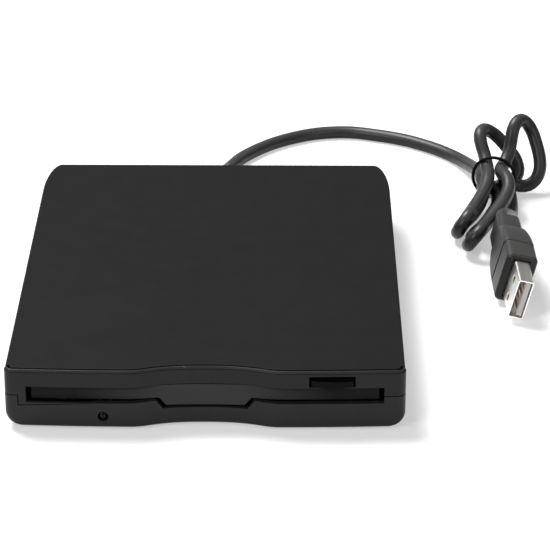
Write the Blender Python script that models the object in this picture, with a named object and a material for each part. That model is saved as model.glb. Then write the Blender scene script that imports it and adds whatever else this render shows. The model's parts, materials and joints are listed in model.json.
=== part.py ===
"""External floppy disk drive: a flat case round a 3.5-inch mechanism, with its cord tied in a hank.

Metres, +Z up. The origin is on the floor under the middle of the case, the slot faces -Y
and the cord leaves from the rear face at +Y. At rest the drive is empty: the button is in,
the disk holder is up and the dust flap is shut.
"""

import math

import bmesh
import bpy
import numpy as np
from mathutils import Matrix, Vector

# Clearances and counts that every piece shares
GAP = 0.0003
RUNNING_GAP = 0.00015
SIDE_GAP = 0.0004
OVERRUN = 0.002
ROUND_SIDES = 24
SMALL_SIDES = 12
ROTOR_SIDES = 32
SMOOTH_ANGLE = math.radians(35)

# The disk that the drive takes sets the mechanism's size, and the mechanism sets the case's
DISK_WIDTH = 0.090
DISK_LENGTH = 0.094
DISK_THICKNESS = 0.0033
DISK_PROUD = 0.006

# Mechanism: half widths, from the disk outwards
HOLDER_STEEL = 0.0006
CHASSIS_STEEL = 0.0008
SLIDE_STEEL = 0.0006
HOLDER_HALF_WIDTH = DISK_WIDTH / 2 + SIDE_GAP + HOLDER_STEEL
CHASSIS_HALF_WIDTH = HOLDER_HALF_WIDTH + SIDE_GAP + CHASSIS_STEEL
SLIDE_HALF_WIDTH = CHASSIS_HALF_WIDTH + SIDE_GAP + SLIDE_STEEL

# Case: walls and the outline seen from above
CASE_WALL = 0.0016
FLOOR_WALL = 0.0015
CEILING_WALL = 0.0015
CASE_SIDE_ROOM = 0.0022
HALF_WIDTH = SLIDE_HALF_WIDTH + CASE_SIDE_ROOM + CASE_WALL
BUTTON_PROUD = 0.001
FRONT_CORNER_RADIUS = 0.0023
FRONT_BOW = 0.001
REAR_CORNER_ACROSS = 0.0042
REAR_CORNER_ALONG = 0.0198
RECESS_HALF_WIDTH = 0.0178
RECESS_DEPTH = 0.003
RECESS_POWER = 2.5
RECESS_BLEND_SHARE = 0.88
RECESS_STEP_SHARES = (0, 0.17, 0.34, 0.5, 0.64, 0.76, 0.88, 0.97, 1.06)
BOW_STEP_SHARES = (0.0, 0.3, 0.65)
CORNER_STEPS = 4
REAR_CORNER_STEPS = 6

# Depth: the mechanism's pieces from front to rear, then the bridge board and the rear wall
MECHANISM_SETBACK = 0.013
HEAD_TRAVEL = 0.0144
HEAD_STOP_ROOM = 0.0007
CARRIAGE_LENGTH = 0.004
STEPPER_LENGTH = 0.0088
BRIDGE_ROOM = 0.0006
BRIDGE_BOARD_LENGTH = 0.005
BRIDGE_REAR_ROOM = 0.0023
HOLDER_LENGTH = DISK_LENGTH - DISK_PROUD
CARRIAGE_BACK = HOLDER_LENGTH + GAP + CHASSIS_STEEL + HEAD_TRAVEL + HEAD_STOP_ROOM
STEPPER_BACK = CARRIAGE_BACK + CARRIAGE_LENGTH + GAP + CHASSIS_STEEL + GAP
CHASSIS_LENGTH = STEPPER_BACK + STEPPER_LENGTH + GAP + CHASSIS_STEEL
BRIDGE_BACK = CHASSIS_LENGTH + BRIDGE_ROOM + BRIDGE_BOARD_LENGTH
CASE_DEPTH = MECHANISM_SETBACK + BRIDGE_BACK + BRIDGE_REAR_ROOM + CASE_WALL
FRONT_Y = -(CASE_DEPTH - BUTTON_PROUD) / 2
REAR_Y = FRONT_Y + CASE_DEPTH
MECHANISM_FRONT = FRONT_Y + MECHANISM_SETBACK
HOLDER_REAR = MECHANISM_FRONT + HOLDER_LENGTH
BRACKET_FRONT = HOLDER_REAR + GAP
CARRIAGE_FRONT = MECHANISM_FRONT + CARRIAGE_BACK
CARRIAGE_REAR = CARRIAGE_FRONT + CARRIAGE_LENGTH
MOTOR_BRACKET_Y = CARRIAGE_REAR + GAP
CHASSIS_REAR = MECHANISM_FRONT + CHASSIS_LENGTH

# Heights: the base, the chassis, the boards, the motor, the holder, the slide and the cover
FOOT_HEIGHT = 0.0008
BOARD_THICKNESS = 0.0008
ROTOR_CUP_DEPTH = 0.0017
ROTOR_SHEET = 0.0006
HUB_RISE = 0.0005
HUB_ROOM = 0.00055
DISK_HEIGHT_ROOM = 0.0009
SLIDE_ROOM = 0.00095
COVER_ROOM = 0.0011
CASE_BOTTOM = FOOT_HEIGHT
FLOOR_Z = CASE_BOTTOM + FLOOR_WALL
CHASSIS_BOTTOM = FLOOR_Z + GAP
CHASSIS_FLOOR = CHASSIS_BOTTOM + CHASSIS_STEEL
BOARD_BOTTOM = CHASSIS_FLOOR + GAP
BOARD_TOP = BOARD_BOTTOM + BOARD_THICKNESS
ROTOR_DISC_BOTTOM = BOARD_TOP + ROTOR_CUP_DEPTH
ROTOR_DISC_TOP = ROTOR_DISC_BOTTOM + ROTOR_SHEET
HUB_TOP = ROTOR_DISC_TOP + HUB_RISE
HOLDER_LIP_BOTTOM = HUB_TOP + HUB_ROOM
HOLDER_LIP_TOP = HOLDER_LIP_BOTTOM + HOLDER_STEEL
HOLDER_PLATE_BOTTOM = HOLDER_LIP_TOP + DISK_THICKNESS + DISK_HEIGHT_ROOM
HOLDER_TOP = HOLDER_PLATE_BOTTOM + HOLDER_STEEL
SLIDE_BOTTOM = HOLDER_TOP + SLIDE_ROOM
CEILING_Z = SLIDE_BOTTOM + SLIDE_STEEL + COVER_ROOM
CASE_TOP = CEILING_Z + CEILING_WALL

# Case: edges and the seam between its halves
SLOT_STEP = 0.00035
PARTING_RISE = 0.0019
SLOT_BOTTOM = HOLDER_LIP_TOP - SLOT_STEP
PARTING_Z = SLOT_BOTTOM + PARTING_RISE
SIDE_ROUND = 0.004
END_ROUND = 0.0012
ROUND_STEPS = 4
COVER_STRAIGHT = 0.003
COVER_DRAFT = 0.0003
COVER_EDGE_DROP = 0.0005
COVER_EDGE_INSET = 0.0003
CAVITY_FOOT_INSET = 0.0009

# Front bezel, slot, notch and button pocket
BEZEL_WALL = 0.0009
BEZEL_BELOW_TOP = 0.0002
BEZEL_TOP = CASE_TOP - BEZEL_BELOW_TOP
BEZEL_CHAMFER = 0.0006
BEZEL_CHAMFER_HEIGHT = 0.0007
BEZEL_REACH = 0.0032
SLOT_SIDE_ROOM = 0.00135
SLOT_HEIGHT_ROOM = 0.0011
SLOT_HALF_WIDTH = DISK_WIDTH / 2 + SLOT_SIDE_ROOM
SLOT_HEIGHT = DISK_THICKNESS + SLOT_HEIGHT_ROOM
SLOT_TOP = SLOT_BOTTOM + SLOT_HEIGHT
SLOT_RIM = 0.00085
SLOT_POST = 0.002
RIM_BOTTOM = SLOT_BOTTOM - SLOT_RIM
RIM_X = SLOT_HALF_WIDTH + SLOT_POST
NOTCH_DEPTH = 0.0025
NOTCH_TOP_HALF = 0.0128
NOTCH_BOTTOM_HALF = 0.011
NOTCH_BOTTOM = SLOT_BOTTOM - NOTCH_DEPTH
BEZEL_BOTTOM = NOTCH_BOTTOM - SLOT_RIM
FRONT_DEPTH = RECESS_DEPTH + FRONT_BOW + BEZEL_WALL
BUTTON_FROM_SLOT_END = 0.01345
BUTTON_X = SLOT_HALF_WIDTH - BUTTON_FROM_SLOT_END
BUTTON_WIDTH = 0.0111
POCKET_SIDE_GAP = 0.00045
POCKET_BOTTOM = SLOT_TOP + GAP
POCKET_HEIGHT = 0.003

# Dust flap, its hinge and spring
FLAP_SETBACK = 0.0015
FLAP_WALL = 0.0008
FLAP_SIDE_GAP = 0.00125
FLAP_HALF_WIDTH = SLOT_HALF_WIDTH - FLAP_SIDE_GAP
FLAP_TOP_GAP = 0.00035
FLAP_MIDDLE_DROP = 0.0005
FLAP_BOTTOM_GAP = 0.0005
FLAP_TAB_GAP = 0.0008
FLAP_AXIS_BACK = 0.0028
FLAP_AXIS_RISE = 0.0011
FLAP_AXIS = (0.0, FRONT_Y + FLAP_AXIS_BACK, SLOT_TOP + FLAP_AXIS_RISE)
FLAP_PIN_RADIUS = 0.0006
FLAP_PIN_LENGTH = 0.0018
FLAP_LUG_WIDTH = 0.0012
FLAP_LUG_HALF_DEPTH = 0.0009
FLAP_LUG_RISE = 0.0008
FLAP_STUB_LENGTH = 0.0019
FLAP_SPRING_WIRE = 0.00015
FLAP_SPRING_RADIUS = 0.00105
FLAP_SPRING_TURNS = 2
FLAP_SPRING_PITCH = 0.00075
EAR_GAP = 0.0005
EAR_WIDTH = 0.002
EAR_HALF_DEPTH = 0.0013
EAR_RISE = 0.0013
EAR_FOOT = 0.00105

# Eject button, whose socket grips the slide's tongue
BUTTON_BOTTOM = POCKET_BOTTOM + RUNNING_GAP
BUTTON_HEIGHT = 0.00175
BUTTON_BULGE = 0.0014
BUTTON_BACK = 0.0024
BUTTON_FACE_STEPS = 8
STEM_WIDTH = 0.006
STEM_BACK = 0.0092
SOCKET_WIDTH = 0.008
SOCKET_LENGTH = 0.0045
SOCKET_WALL = 0.00035
SOCKET_WEB = 0.001
TONGUE_ROOM = 0.0002
STEM_BOTTOM = SLIDE_BOTTOM - TONGUE_ROOM - SOCKET_WALL
SOCKET_HEIGHT = 2 * SOCKET_WALL + TONGUE_ROOM + SLIDE_STEEL + GAP

# Disk holder
HOLDER_LIP = 0.0045
HOLDER_DROP = 0.0018
HOLDER_WINDOW_HALF_WIDTH = 0.007
WINDOW_ROOM = 0.0021
STUD_RADIUS = 0.001
STUD_LENGTH = SLIDE_HALF_WIDTH + GAP - HOLDER_HALF_WIDTH
STUD_Z = (HOLDER_LIP_BOTTOM + HOLDER_TOP) / 2
FRONT_STUD_BACK = 0.0175
REAR_STUD_AHEAD = 0.0125
STUD_YS = (MECHANISM_FRONT + FRONT_STUD_BACK, HOLDER_REAR - REAR_STUD_AHEAD)
STUD_SIDE_GAP = 0.00025

# Sensor board, main board and spindle: places along the depth
SENSOR_BOARD_BACK = 0.001
SENSOR_BOARD_LENGTH = 0.0135
BOARD_SPACE = 0.002
MAIN_BOARD_EDGE = 0.004
ROTOR_RADIUS = 0.020
SENSOR_BOARD_FRONT = MECHANISM_FRONT + SENSOR_BOARD_BACK
SENSOR_BOARD_REAR = SENSOR_BOARD_FRONT + SENSOR_BOARD_LENGTH
MAIN_BOARD_FRONT = SENSOR_BOARD_REAR + BOARD_SPACE
SPINDLE_Y = MAIN_BOARD_FRONT + MAIN_BOARD_EDGE + ROTOR_RADIUS

# Heads: where the first track puts them
FIRST_TRACK_RADIUS = 0.0395
ARM_LEAD = 0.004
HEAD_Y = SPINDLE_Y + FIRST_TRACK_RADIUS
ARM_FRONT = HEAD_Y - ARM_LEAD
HOLDER_WINDOW_FRONT = ARM_FRONT - HEAD_TRAVEL - WINDOW_ROOM

# Eject slide and its springs
SLIDE_TRAVEL = 0.0045
SLIDE_HEAD_ROOM = 0.0091
SLIDE_BRIDGE_REAR = ARM_FRONT - HEAD_TRAVEL - SLIDE_HEAD_ROOM
SPRING_IN = 0.006
SPRING_X = HOLDER_HALF_WIDTH - SPRING_IN
SPRING_DROP = 0.0034
SPRING_Z = SLIDE_BOTTOM - SPRING_DROP
SPRING_TAB_BACK = 0.0029
SPRING_TAB_Y = HOLDER_REAR + SPRING_TAB_BACK
SPRING_TAB_HALF_WIDTH = 0.0022
SLIDE_SPRING_RADIUS = 0.0011
SLIDE_SPRING_WIRE = 0.0002
SLIDE_SPRING_TURNS = 8
SLIDE_SPRING_POINTS = 8
SPRING_TAB_TOP = SPRING_Z + SLIDE_SPRING_RADIUS + GAP
SLIDE_ARM_WIDTH = 0.0037
SLIDE_ARM_INNER = SPRING_X + SPRING_TAB_HALF_WIDTH - SLIDE_ARM_WIDTH
SLIDE_ARM_AHEAD = 0.008
SLIDE_ARM_REAR = CHASSIS_REAR - SLIDE_ARM_AHEAD
SLIDE_NOSE_NOTCH = 0.006
SLIDE_CORNER_CUT = 0.003
SLIDE_NOTCH_HALF_WIDTH = 0.015
FLANGE_SETBACK = 0.0095
FLANGE_AHEAD = 0.0025
FLANGE_BELOW_STUD = 0.00415
SLIDE_FLANGE_FRONT = MECHANISM_FRONT + FLANGE_SETBACK
SLIDE_FLANGE_REAR = HOLDER_REAR - FLANGE_AHEAD
SLIDE_FLANGE_BOTTOM = STUD_Z - FLANGE_BELOW_STUD
SLIDE_HOOK_BOTTOM = SPRING_Z - SLIDE_SPRING_RADIUS - SLIDE_SPRING_WIRE
SLIDE_HOOK_LENGTH = 0.0045

# Head carriage and its drive
CARRIAGE_RISE = 0.0008
CARRIAGE_HEIGHT = 0.005
CARRIAGE_BOTTOM = CHASSIS_FLOOR + CARRIAGE_RISE
CARRIAGE_TOP = CARRIAGE_BOTTOM + CARRIAGE_HEIGHT
CARRIAGE_SIDE = 0.003
ROD_X = -0.014
ROD_RISE = 0.0022
ROD_Z = CARRIAGE_BOTTOM + ROD_RISE
ROD_RADIUS = 0.00125
SCREW_X = 0.016
SCREW_RADIUS = 0.0015
SCREW_OFFSET = 0.00018
SCREW_LEAD = 0.003
SCREW_STEPS_PER_TURN = 6
SCREW_SIDES = 8
JOURNAL_RADIUS = 0.001
BUSH_RADIUS = 0.002
STEPPER_RADIUS = 0.0047
STEPPER_BORE_DEPTH = 0.0045
SCREW_Z = CHASSIS_FLOOR + GAP + STEPPER_RADIUS
ARM_HALF_WIDTH = 0.004
LOWER_ARM_THICKNESS = 0.0014
HEAD_HALF_WIDTH = 0.0032
HEAD_HALF_LENGTH = 0.003
LOWER_HEAD_HEIGHT = 0.0019
UPPER_HEAD_HEIGHT = 0.0006
UPPER_ARM_ROOM = 0.00035
UPPER_ARM_THICKNESS = 0.001
UPPER_ARM_BOTTOM = HOLDER_TOP + UPPER_ARM_ROOM
UPPER_ARM_TOP = UPPER_ARM_BOTTOM + UPPER_ARM_THICKNESS
UPPER_HEAD_TOP = UPPER_ARM_BOTTOM - GAP
UPPER_HEAD_BOTTOM = UPPER_HEAD_TOP - UPPER_HEAD_HEIGHT
KNUCKLE_DEPTH = 0.0008
ARM_SWING_ROOM = 0.0005
ARM_BLOCK_BOTTOM = UPPER_ARM_BOTTOM - KNUCKLE_DEPTH
ARM_POST_TOP = ARM_BLOCK_BOTTOM - ARM_SWING_ROOM
ARM_AXIS_Z = UPPER_ARM_BOTTOM
ARM_PIN_RADIUS = 0.0005
ARM_EAR_WIDTH = 0.001
ARM_EAR_RISE = 0.0001
ARM_EAR_TOP = UPPER_ARM_TOP + ARM_EAR_RISE
FOLLOWER_THICKNESS = 0.0008
FOLLOWER_HALF_WIDTH = 0.0012

# Shutter lever and its spring
LEVER_POST_IN = 0.012
LEVER_POST_BACK = 0.0025
LEVER_POST = (LEVER_POST_IN - HOLDER_HALF_WIDTH, HOLDER_REAR + LEVER_POST_BACK)
LEVER_POST_RADIUS = 0.0012
LEVER_BOTTOM = CARRIAGE_TOP + SIDE_GAP
LEVER_THICKNESS = 0.0007
LEVER_POST_TOP = LEVER_BOTTOM + 2 * LEVER_THICKNESS
LEVER_REACH = (0.018, -0.013)
LEVER_HUB_RADIUS = 0.0022
LEVER_TIP_RADIUS = 0.0013
LEVER_TAPER_SHARE = 0.9
LEVER_SPRING_RADIUS = 0.0018
LEVER_SPRING_WIRE = 0.0002
LEVER_SPRING_TURNS = 2
LEVER_SPRING_PITCH = 0.0009

# Chassis
WALL_BELOW_HOLDER = 0.00035
REAR_WALL_RISE = 0.0005
REAR_WALL_IN = 0.0132
WALL_AHEAD = 0.0005
ROD_BRACKET_EDGE = 0.00075
ROD_OVERHANG = 0.0023
CHASSIS_WALL_TOP = HOLDER_TOP - WALL_BELOW_HOLDER
CHASSIS_WALL_REAR = HOLDER_REAR - WALL_AHEAD
CHASSIS_REAR_WALL_TOP = BOARD_TOP + REAR_WALL_RISE
CHASSIS_REAR_HALF_WIDTH = CHASSIS_HALF_WIDTH - REAR_WALL_IN
BRACKET_HALF_WIDTH = 0.004
ROD_BRACKET_TOP = ROD_Z + ROD_RADIUS + ROD_BRACKET_EDGE
ROD_REAR_BRACKET = CARRIAGE_REAR + ROD_OVERHANG
MOTOR_BRACKET_TOP = SCREW_Z + STEPPER_RADIUS

# Spindle motor
BEARING_RADIUS = 0.005
BEARING_TOP = ROTOR_DISC_BOTTOM - GAP
SHAFT_RADIUS = 0.002
STATOR_INNER_RADIUS = 0.006
STATOR_YOKE_RADIUS = 0.0085
STATOR_SPACE = 0.0016
ROTOR_RIM = 0.0014
STATOR_RADIUS = ROTOR_RADIUS - ROTOR_RIM - STATOR_SPACE
STATOR_TEETH = 12
STATOR_TOOTH_SHARE = 0.5
STATOR_THICKNESS = 0.001
HUB_RADIUS = 0.0115
SHAFT_RISE = 0.0009
SHAFT_TOP = HUB_TOP + SHAFT_RISE
SHAFT_BOTTOM = CHASSIS_BOTTOM + 2 * GAP
DRIVE_PIN_RADIUS = 0.001
DRIVE_PIN_ORBIT = 0.009
DRIVE_PIN_BOTTOM = ROTOR_DISC_BOTTOM - GAP / 3

# Boards and what they carry
SENSOR_BOARD_IN = 0.0024
SENSOR_BOARD_HALF_WIDTH = HOLDER_HALF_WIDTH + SIDE_GAP - SENSOR_BOARD_IN
SWITCH_IN = 0.007
SWITCH_BACK = 0.0065
SWITCH_X = SENSOR_BOARD_HALF_WIDTH - SWITCH_IN
SWITCH_Y = SENSOR_BOARD_FRONT + SWITCH_BACK
SWITCH_HALF_SIZE = 0.0025
SWITCH_HEIGHT = 0.0018
PLUNGER_RADIUS = 0.0007
PLUNGER_PROUD = 0.0016
PLUNGER_TOP = BOARD_TOP + GAP + SWITCH_HEIGHT + PLUNGER_PROUD
PLUNGER_TRAVEL = 0.0012
PLUNGER_LENGTH = 0.0019
MAIN_BOARD_IN = 0.0009
ROTOR_SPACE = 0.0001
CARRIAGE_SPACE = 0.002
BOARD_END_GAP = 0.0004
MAIN_BOARD_LEFT = MAIN_BOARD_IN - SIDE_GAP - HOLDER_HALF_WIDTH
MAIN_BOARD_RIGHT = ROTOR_RADIUS + MAIN_BOARD_EDGE
MAIN_BOARD_STEP_X = ROD_X - CARRIAGE_SIDE - CARRIAGE_SPACE
MAIN_BOARD_STEP_Y = SPINDLE_Y + ROTOR_RADIUS + ROTOR_SPACE
MAIN_BOARD_REAR = CHASSIS_REAR - CHASSIS_STEEL - BOARD_END_GAP
CHIP_SIZE = 0.009
CHIP_HEIGHT = 0.0012
CHIP_AHEAD = 0.0148
CHIP_IN = 0.01325
CHIP_AT = (MAIN_BOARD_LEFT + CHIP_IN, MAIN_BOARD_REAR - CHIP_AHEAD)
RIBBON_WIDTH = 0.012
RIBBON_THICKNESS = 0.0003
RIBBON_ARCH = 0.0016
RIBBON_LANDING = 0.0012
RIBBON_STEPS = 8
RIBBON_MARGIN = 0.0005
RIBBON_X = (CHIP_AT[0] - RIBBON_WIDTH / 2, CHIP_AT[0] + RIBBON_WIDTH / 2)
SOCKET_MARGIN = 0.001
SOCKET_AT_X = (RIBBON_X[0] - SOCKET_MARGIN, RIBBON_X[1] + SOCKET_MARGIN)
BOARD_SOCKET_AHEAD = 0.0008
BOARD_SOCKET_LENGTH = 0.0035
BOARD_SOCKET_HEIGHT = 0.0018
SOCKET_BOARD_REAR = MAIN_BOARD_REAR - BOARD_SOCKET_AHEAD
SOCKET_BOARD_Y = (SOCKET_BOARD_REAR - BOARD_SOCKET_LENGTH, SOCKET_BOARD_REAR)
CORE_RADIUS = 0.0012
CORE_BEND = 0.0023
CORE_BEND_STEPS = 5
HEADER_START = 0.010
HEADER_LENGTH = 0.010
HEADER_WIDTH = 0.0034
HEADER_HEIGHT = 0.0036
HEADER_MARGIN = 0.007
HEADER_X = (HEADER_START, HEADER_START + HEADER_LENGTH)
BRIDGE_RISE = 0.0014
BRIDGE_BOARD_BOTTOM = FLOOR_Z + BRIDGE_RISE
BRIDGE_BOARD_X = (RIBBON_X[0] - RIBBON_MARGIN, HEADER_X[1] + HEADER_MARGIN)
BRIDGE_BOARD_FRONT = CHASSIS_REAR + BRIDGE_ROOM
BRIDGE_BOARD_Y = (BRIDGE_BOARD_FRONT, BRIDGE_BOARD_FRONT + BRIDGE_BOARD_LENGTH)
BRIDGE_POST_RADIUS = 0.0015
BRIDGE_POST_XS = (-0.018, HEADER_X[1])
BRIDGE_CHIP_X = -0.010
BRIDGE_CHIP_SIZE = 0.0042
BRIDGE_CHIP_HEIGHT = 0.001

# Indicator
LED_FROM_SLOT_END = 0.01985
LED_X = LED_FROM_SLOT_END - SLOT_HALF_WIDTH
LED_RISE = 0.0034
LED_Z = CASE_BOTTOM + LED_RISE
LED_HOLE_RADIUS = 0.0014
LED_LENS_RADIUS = 0.00115
LED_LENS_SETBACK = 0.0001
LED_LENS_DOME = 0.0004
LED_DOME_SHARE = 0.7
LED_SIZE = (0.003, 0.0012, 0.0022)
LED_BACK = MECHANISM_FRONT - GAP

# Screws and feet
FRONT_SCREW_IN = 0.0044
FRONT_SCREW_BACK = 0.0071
REAR_SCREW_IN = 0.010
REAR_SCREW_AHEAD = 0.0055
CASE_SCREW_PLACES = (
    (HALF_WIDTH - FRONT_SCREW_IN, FRONT_Y + FRONT_SCREW_BACK),
    (HALF_WIDTH - REAR_SCREW_IN, REAR_Y - REAR_SCREW_AHEAD),
)
CASE_BOSS_RADIUS = 0.002
BASE_BOSS_HEIGHT = 0.002
SCREW_HEAD_RADIUS = 0.00145
SCREW_HEAD_HEIGHT = 0.0007
SCREW_SHANK_RADIUS = 0.0009
SCREW_SINK = 0.0014
SCREW_BITE = 0.0047
PILOT_ROOM = 0.001
BASE_BOSS_TOP = FLOOR_Z + BASE_BOSS_HEIGHT
CASE_SCREW_TOP = BASE_BOSS_TOP + SCREW_BITE
CASE_PILOT_TOP = CASE_SCREW_TOP + PILOT_ROOM
CHASSIS_SCREW_IN = 0.0027
CHASSIS_SCREW_BACK = 0.0515
CHASSIS_SCREW_PLACES = (
    (CHASSIS_HALF_WIDTH - CHASSIS_SCREW_IN, MECHANISM_FRONT + CHASSIS_SCREW_BACK),
)
CHASSIS_SCREW_SINK = 0.0011
CHASSIS_SCREW_HEAD = 0.0006
CHASSIS_SCREW_SHANK = 0.0008
CHASSIS_SCREW_PROUD = 0.0001
CHASSIS_SCREW_TOP = CHASSIS_FLOOR + CHASSIS_SCREW_PROUD
FOOT_IN = 0.014
FRONT_FOOT_BACK = 0.0145
REAR_FOOT_AHEAD = 0.0175
FOOT_PLACES = (
    (HALF_WIDTH - FOOT_IN, FRONT_Y + FRONT_FOOT_BACK),
    (HALF_WIDTH - FOOT_IN, REAR_Y - REAR_FOOT_AHEAD),
)
FOOT_RADIUS = 0.004
FOOT_SEAT_DEPTH = 0.0006

# Strain relief at the rear
CORD_RISE = 0.0039
CORD_Z = FLOOR_Z + CORD_RISE
GLAND_NECK_RADIUS = 0.0026
GLAND_FLANGE_RADIUS = 0.0034
GLAND_FLANGE = 0.0013
GLAND_LENGTH = 0.0115
GLAND_TIP_RADIUS = 0.0022

# Cord, hank and tie
CORD_RADIUS = 0.0019
ROUTE_SAMPLES = 24
CORD_STEP = 4 * CORD_RADIUS
CORD_STRAIGHT = 2 * CORD_RADIUS
RUN_POINTS = (
    (0.0008, 0.0965, 0.0042),
    (0.0025, 0.1060, 0.00195),
    (0.0074, 0.1165, 0.00195),
    (0.0168, 0.1280, 0.00195),
    (0.0290, 0.1360, 0.00195),
    (0.0410, 0.1380, 0.00195),
    (0.0520, 0.1348, 0.00195),
    (0.0600, 0.1309, 0.00195),
    (0.0660, 0.1264, 0.00195),
    (0.0699, 0.1228, 0.00195),
    (0.0737, 0.1184, 0.00195),
    (0.0761, 0.1144, 0.0022),
    (0.0783, 0.1087, 0.0030),
    (0.0799, 0.1025, 0.0042),
    (0.0811, 0.0968, 0.0054),
)
HANK_POINTS = (
    (0.0819, 0.0874, 0.0066),
    (0.0820, 0.0847, 0.0066),
    (0.0819, 0.0811, 0.0064),
    (0.0816, 0.0776, 0.0054),
    (0.0808, 0.0743, 0.0043),
    (0.0795, 0.0711, 0.0033),
    (0.0779, 0.0680, 0.0025),
    (0.0761, 0.0649, 0.0020),
    (0.0744, 0.0618, 0.0020),
    (0.0734, 0.0583, 0.0022),
    (0.0728, 0.0548, 0.0027),
    (0.0723, 0.0515, 0.0038),
    (0.0731, 0.0494, 0.0064),
    (0.0751, 0.0505, 0.0091),
    (0.0762, 0.0537, 0.0092),
    (0.0761, 0.0568, 0.0073),
    (0.0761, 0.0599, 0.0056),
    (0.0772, 0.0633, 0.0056),
    (0.0786, 0.0665, 0.0062),
    (0.0801, 0.0697, 0.0071),
    (0.0814, 0.0729, 0.0080),
    (0.0825, 0.0762, 0.0091),
    (0.0831, 0.0796, 0.0101),
    (0.0833, 0.0831, 0.0103),
    (0.0832, 0.0866, 0.0110),
    (0.0826, 0.0903, 0.0133),
    (0.0816, 0.0929, 0.0161),
    (0.0815, 0.0957, 0.0183),
    (0.0831, 0.0988, 0.0184),
    (0.0859, 0.1001, 0.0166),
    (0.0886, 0.0994, 0.0142),
    (0.0911, 0.0984, 0.0115),
    (0.0932, 0.0971, 0.0086),
    (0.0938, 0.0955, 0.0052),
    (0.0918, 0.0939, 0.0026),
    (0.0887, 0.0923, 0.0021),
    (0.0865, 0.0895, 0.0028),
    (0.0855, 0.0863, 0.0039),
    (0.0853, 0.0828, 0.0042),
    (0.0859, 0.0792, 0.0042),
    (0.0860, 0.0757, 0.0038),
    (0.0854, 0.0722, 0.0032),
    (0.0842, 0.0688, 0.0029),
    (0.0829, 0.0655, 0.0025),
    (0.0815, 0.0621, 0.0023),
    (0.0800, 0.0589, 0.0020),
    (0.0783, 0.0557, 0.0020),
    (0.0769, 0.0524, 0.0020),
    (0.0763, 0.0489, 0.0022),
    (0.0757, 0.0454, 0.0028),
    (0.0750, 0.0420, 0.0038),
    (0.0756, 0.0394, 0.0060),
    (0.0778, 0.0399, 0.0086),
    (0.0793, 0.0428, 0.0091),
    (0.0794, 0.0459, 0.0075),
    (0.0791, 0.0489, 0.0055),
    (0.0799, 0.0523, 0.0047),
    (0.0814, 0.0555, 0.0050),
    (0.0831, 0.0586, 0.0058),
    (0.0847, 0.0617, 0.0066),
    (0.0863, 0.0648, 0.0074),
    (0.0877, 0.0680, 0.0083),
    (0.0888, 0.0713, 0.0094),
    (0.0890, 0.0747, 0.0106),
    (0.0883, 0.0781, 0.0112),
    (0.0875, 0.0816, 0.0107),
    (0.0875, 0.0850, 0.0108),
    (0.0889, 0.0881, 0.0116),
    (0.0904, 0.0909, 0.0146),
    (0.0910, 0.0922, 0.0182),
    (0.0918, 0.0937, 0.0213),
    (0.0937, 0.0964, 0.0225),
    (0.0961, 0.0982, 0.0209),
    (0.0980, 0.0978, 0.0179),
    (0.0992, 0.0960, 0.0147),
    (0.1001, 0.0941, 0.0115),
    (0.1003, 0.0922, 0.0080),
    (0.0990, 0.0907, 0.0048),
    (0.0961, 0.0900, 0.0030),
    (0.0925, 0.0899, 0.0033),
    (0.0898, 0.0888, 0.0052),
    (0.0886, 0.0857, 0.0067),
    (0.0889, 0.0830, 0.0064),
)
TAIL_POINTS = (
    (0.0899, 0.0790, 0.0049),
    (0.0902, 0.0750, 0.0033),
    (0.0900, 0.0708, 0.0025),
    (0.0895, 0.0666, 0.0028),
    (0.0888, 0.0622, 0.0043),
    (0.0877, 0.0570, 0.0070),
    (0.0863, 0.0515, 0.0096),
)
HANK_STEP = 1.25 * CORD_RADIUS
APART_RADII = 6
# The tie, and how far from its middle the furthest strand passes it
WAIST_RADIUS = 0.00375
TIE_AT = (0.0854, 0.0852, 0.0077)
TIE_TURN = math.radians(-14)
TIE_WIRE_RADIUS = 0.0004
TIE_SIDES = 6
TIE_STEPS = 24

# Plug
PLUG_X = 0.0868
PLUG_Y = -0.0048
PLUG_REST = 0.00015
PLUG_TURN = math.radians(2.0)
PLUG_DIP = math.radians(4.0)
PLUG_ROLL = math.radians(14.0)
SHELL_WIDTH = 0.012
SHELL_HEIGHT = 0.0045
SHELL_SHEET = 0.00035
SHELL_EXPOSED = 0.012
SHELL_SEATED = 0.0022
SHELL_HOLE_WIDTH = 0.0020
SHELL_HOLE_LENGTH = 0.0026
SHELL_HOLE_FRONT = 0.0052
SHELL_HOLE_OUT = 0.0029
TONGUE_THICKNESS = 0.0014
TONGUE_SETBACK = 0.0004
TONGUE_SIDE_GAP = 0.00045
CONTACT_WIDTH = 0.001
CONTACT_THICKNESS = 0.0002
CONTACT_LENGTH = 0.0075
CONTACT_SETBACK = 0.0011
CONTACT_PLACES = (-0.0035, -0.001, 0.001, 0.0035)
GRIP_WIDTH = 0.0154
GRIP_HEIGHT = 0.0092
GRIP_LENGTH = 0.032
GRIP_ROUND = 0.0016
GRIP_POCKET = 0.0026
GRIP_POCKET_GAP = 0.0003
GRIP_SLEEVE_LENGTH = 0.003
GRIP_SLEEVE_RADIUS = 0.0024
GRIP_SLEEVE_TIP = 0.0021
# Each section: share of the grip's length behind its front, share of width, share of height
GRIP_SHARES = (
    (0.0, 0.93, 0.9),
    (0.02, 1.0, 1.0),
    (0.26, 1.0, 1.0),
    (0.268, 0.96, 0.93),
    (0.288, 0.96, 0.93),
    (0.296, 1.0, 1.0),
    (0.36, 0.99, 1.0),
    (0.44, 0.965, 0.99),
    (0.52, 0.92, 0.97),
    (0.6, 0.855, 0.94),
    (0.67, 0.78, 0.9),
    (0.72, 0.7, 0.86),
    (0.735, 0.64, 0.8),
    (0.985, 0.62, 0.78),
    (1.0, 0.58, 0.72),
)
GRIP_CORNER_STEPS = 3

ADD = "UNION"
CUT = "DIFFERENCE"


def clear_scene():
    for item in list(bpy.data.objects):
        bpy.data.objects.remove(item)


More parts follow.
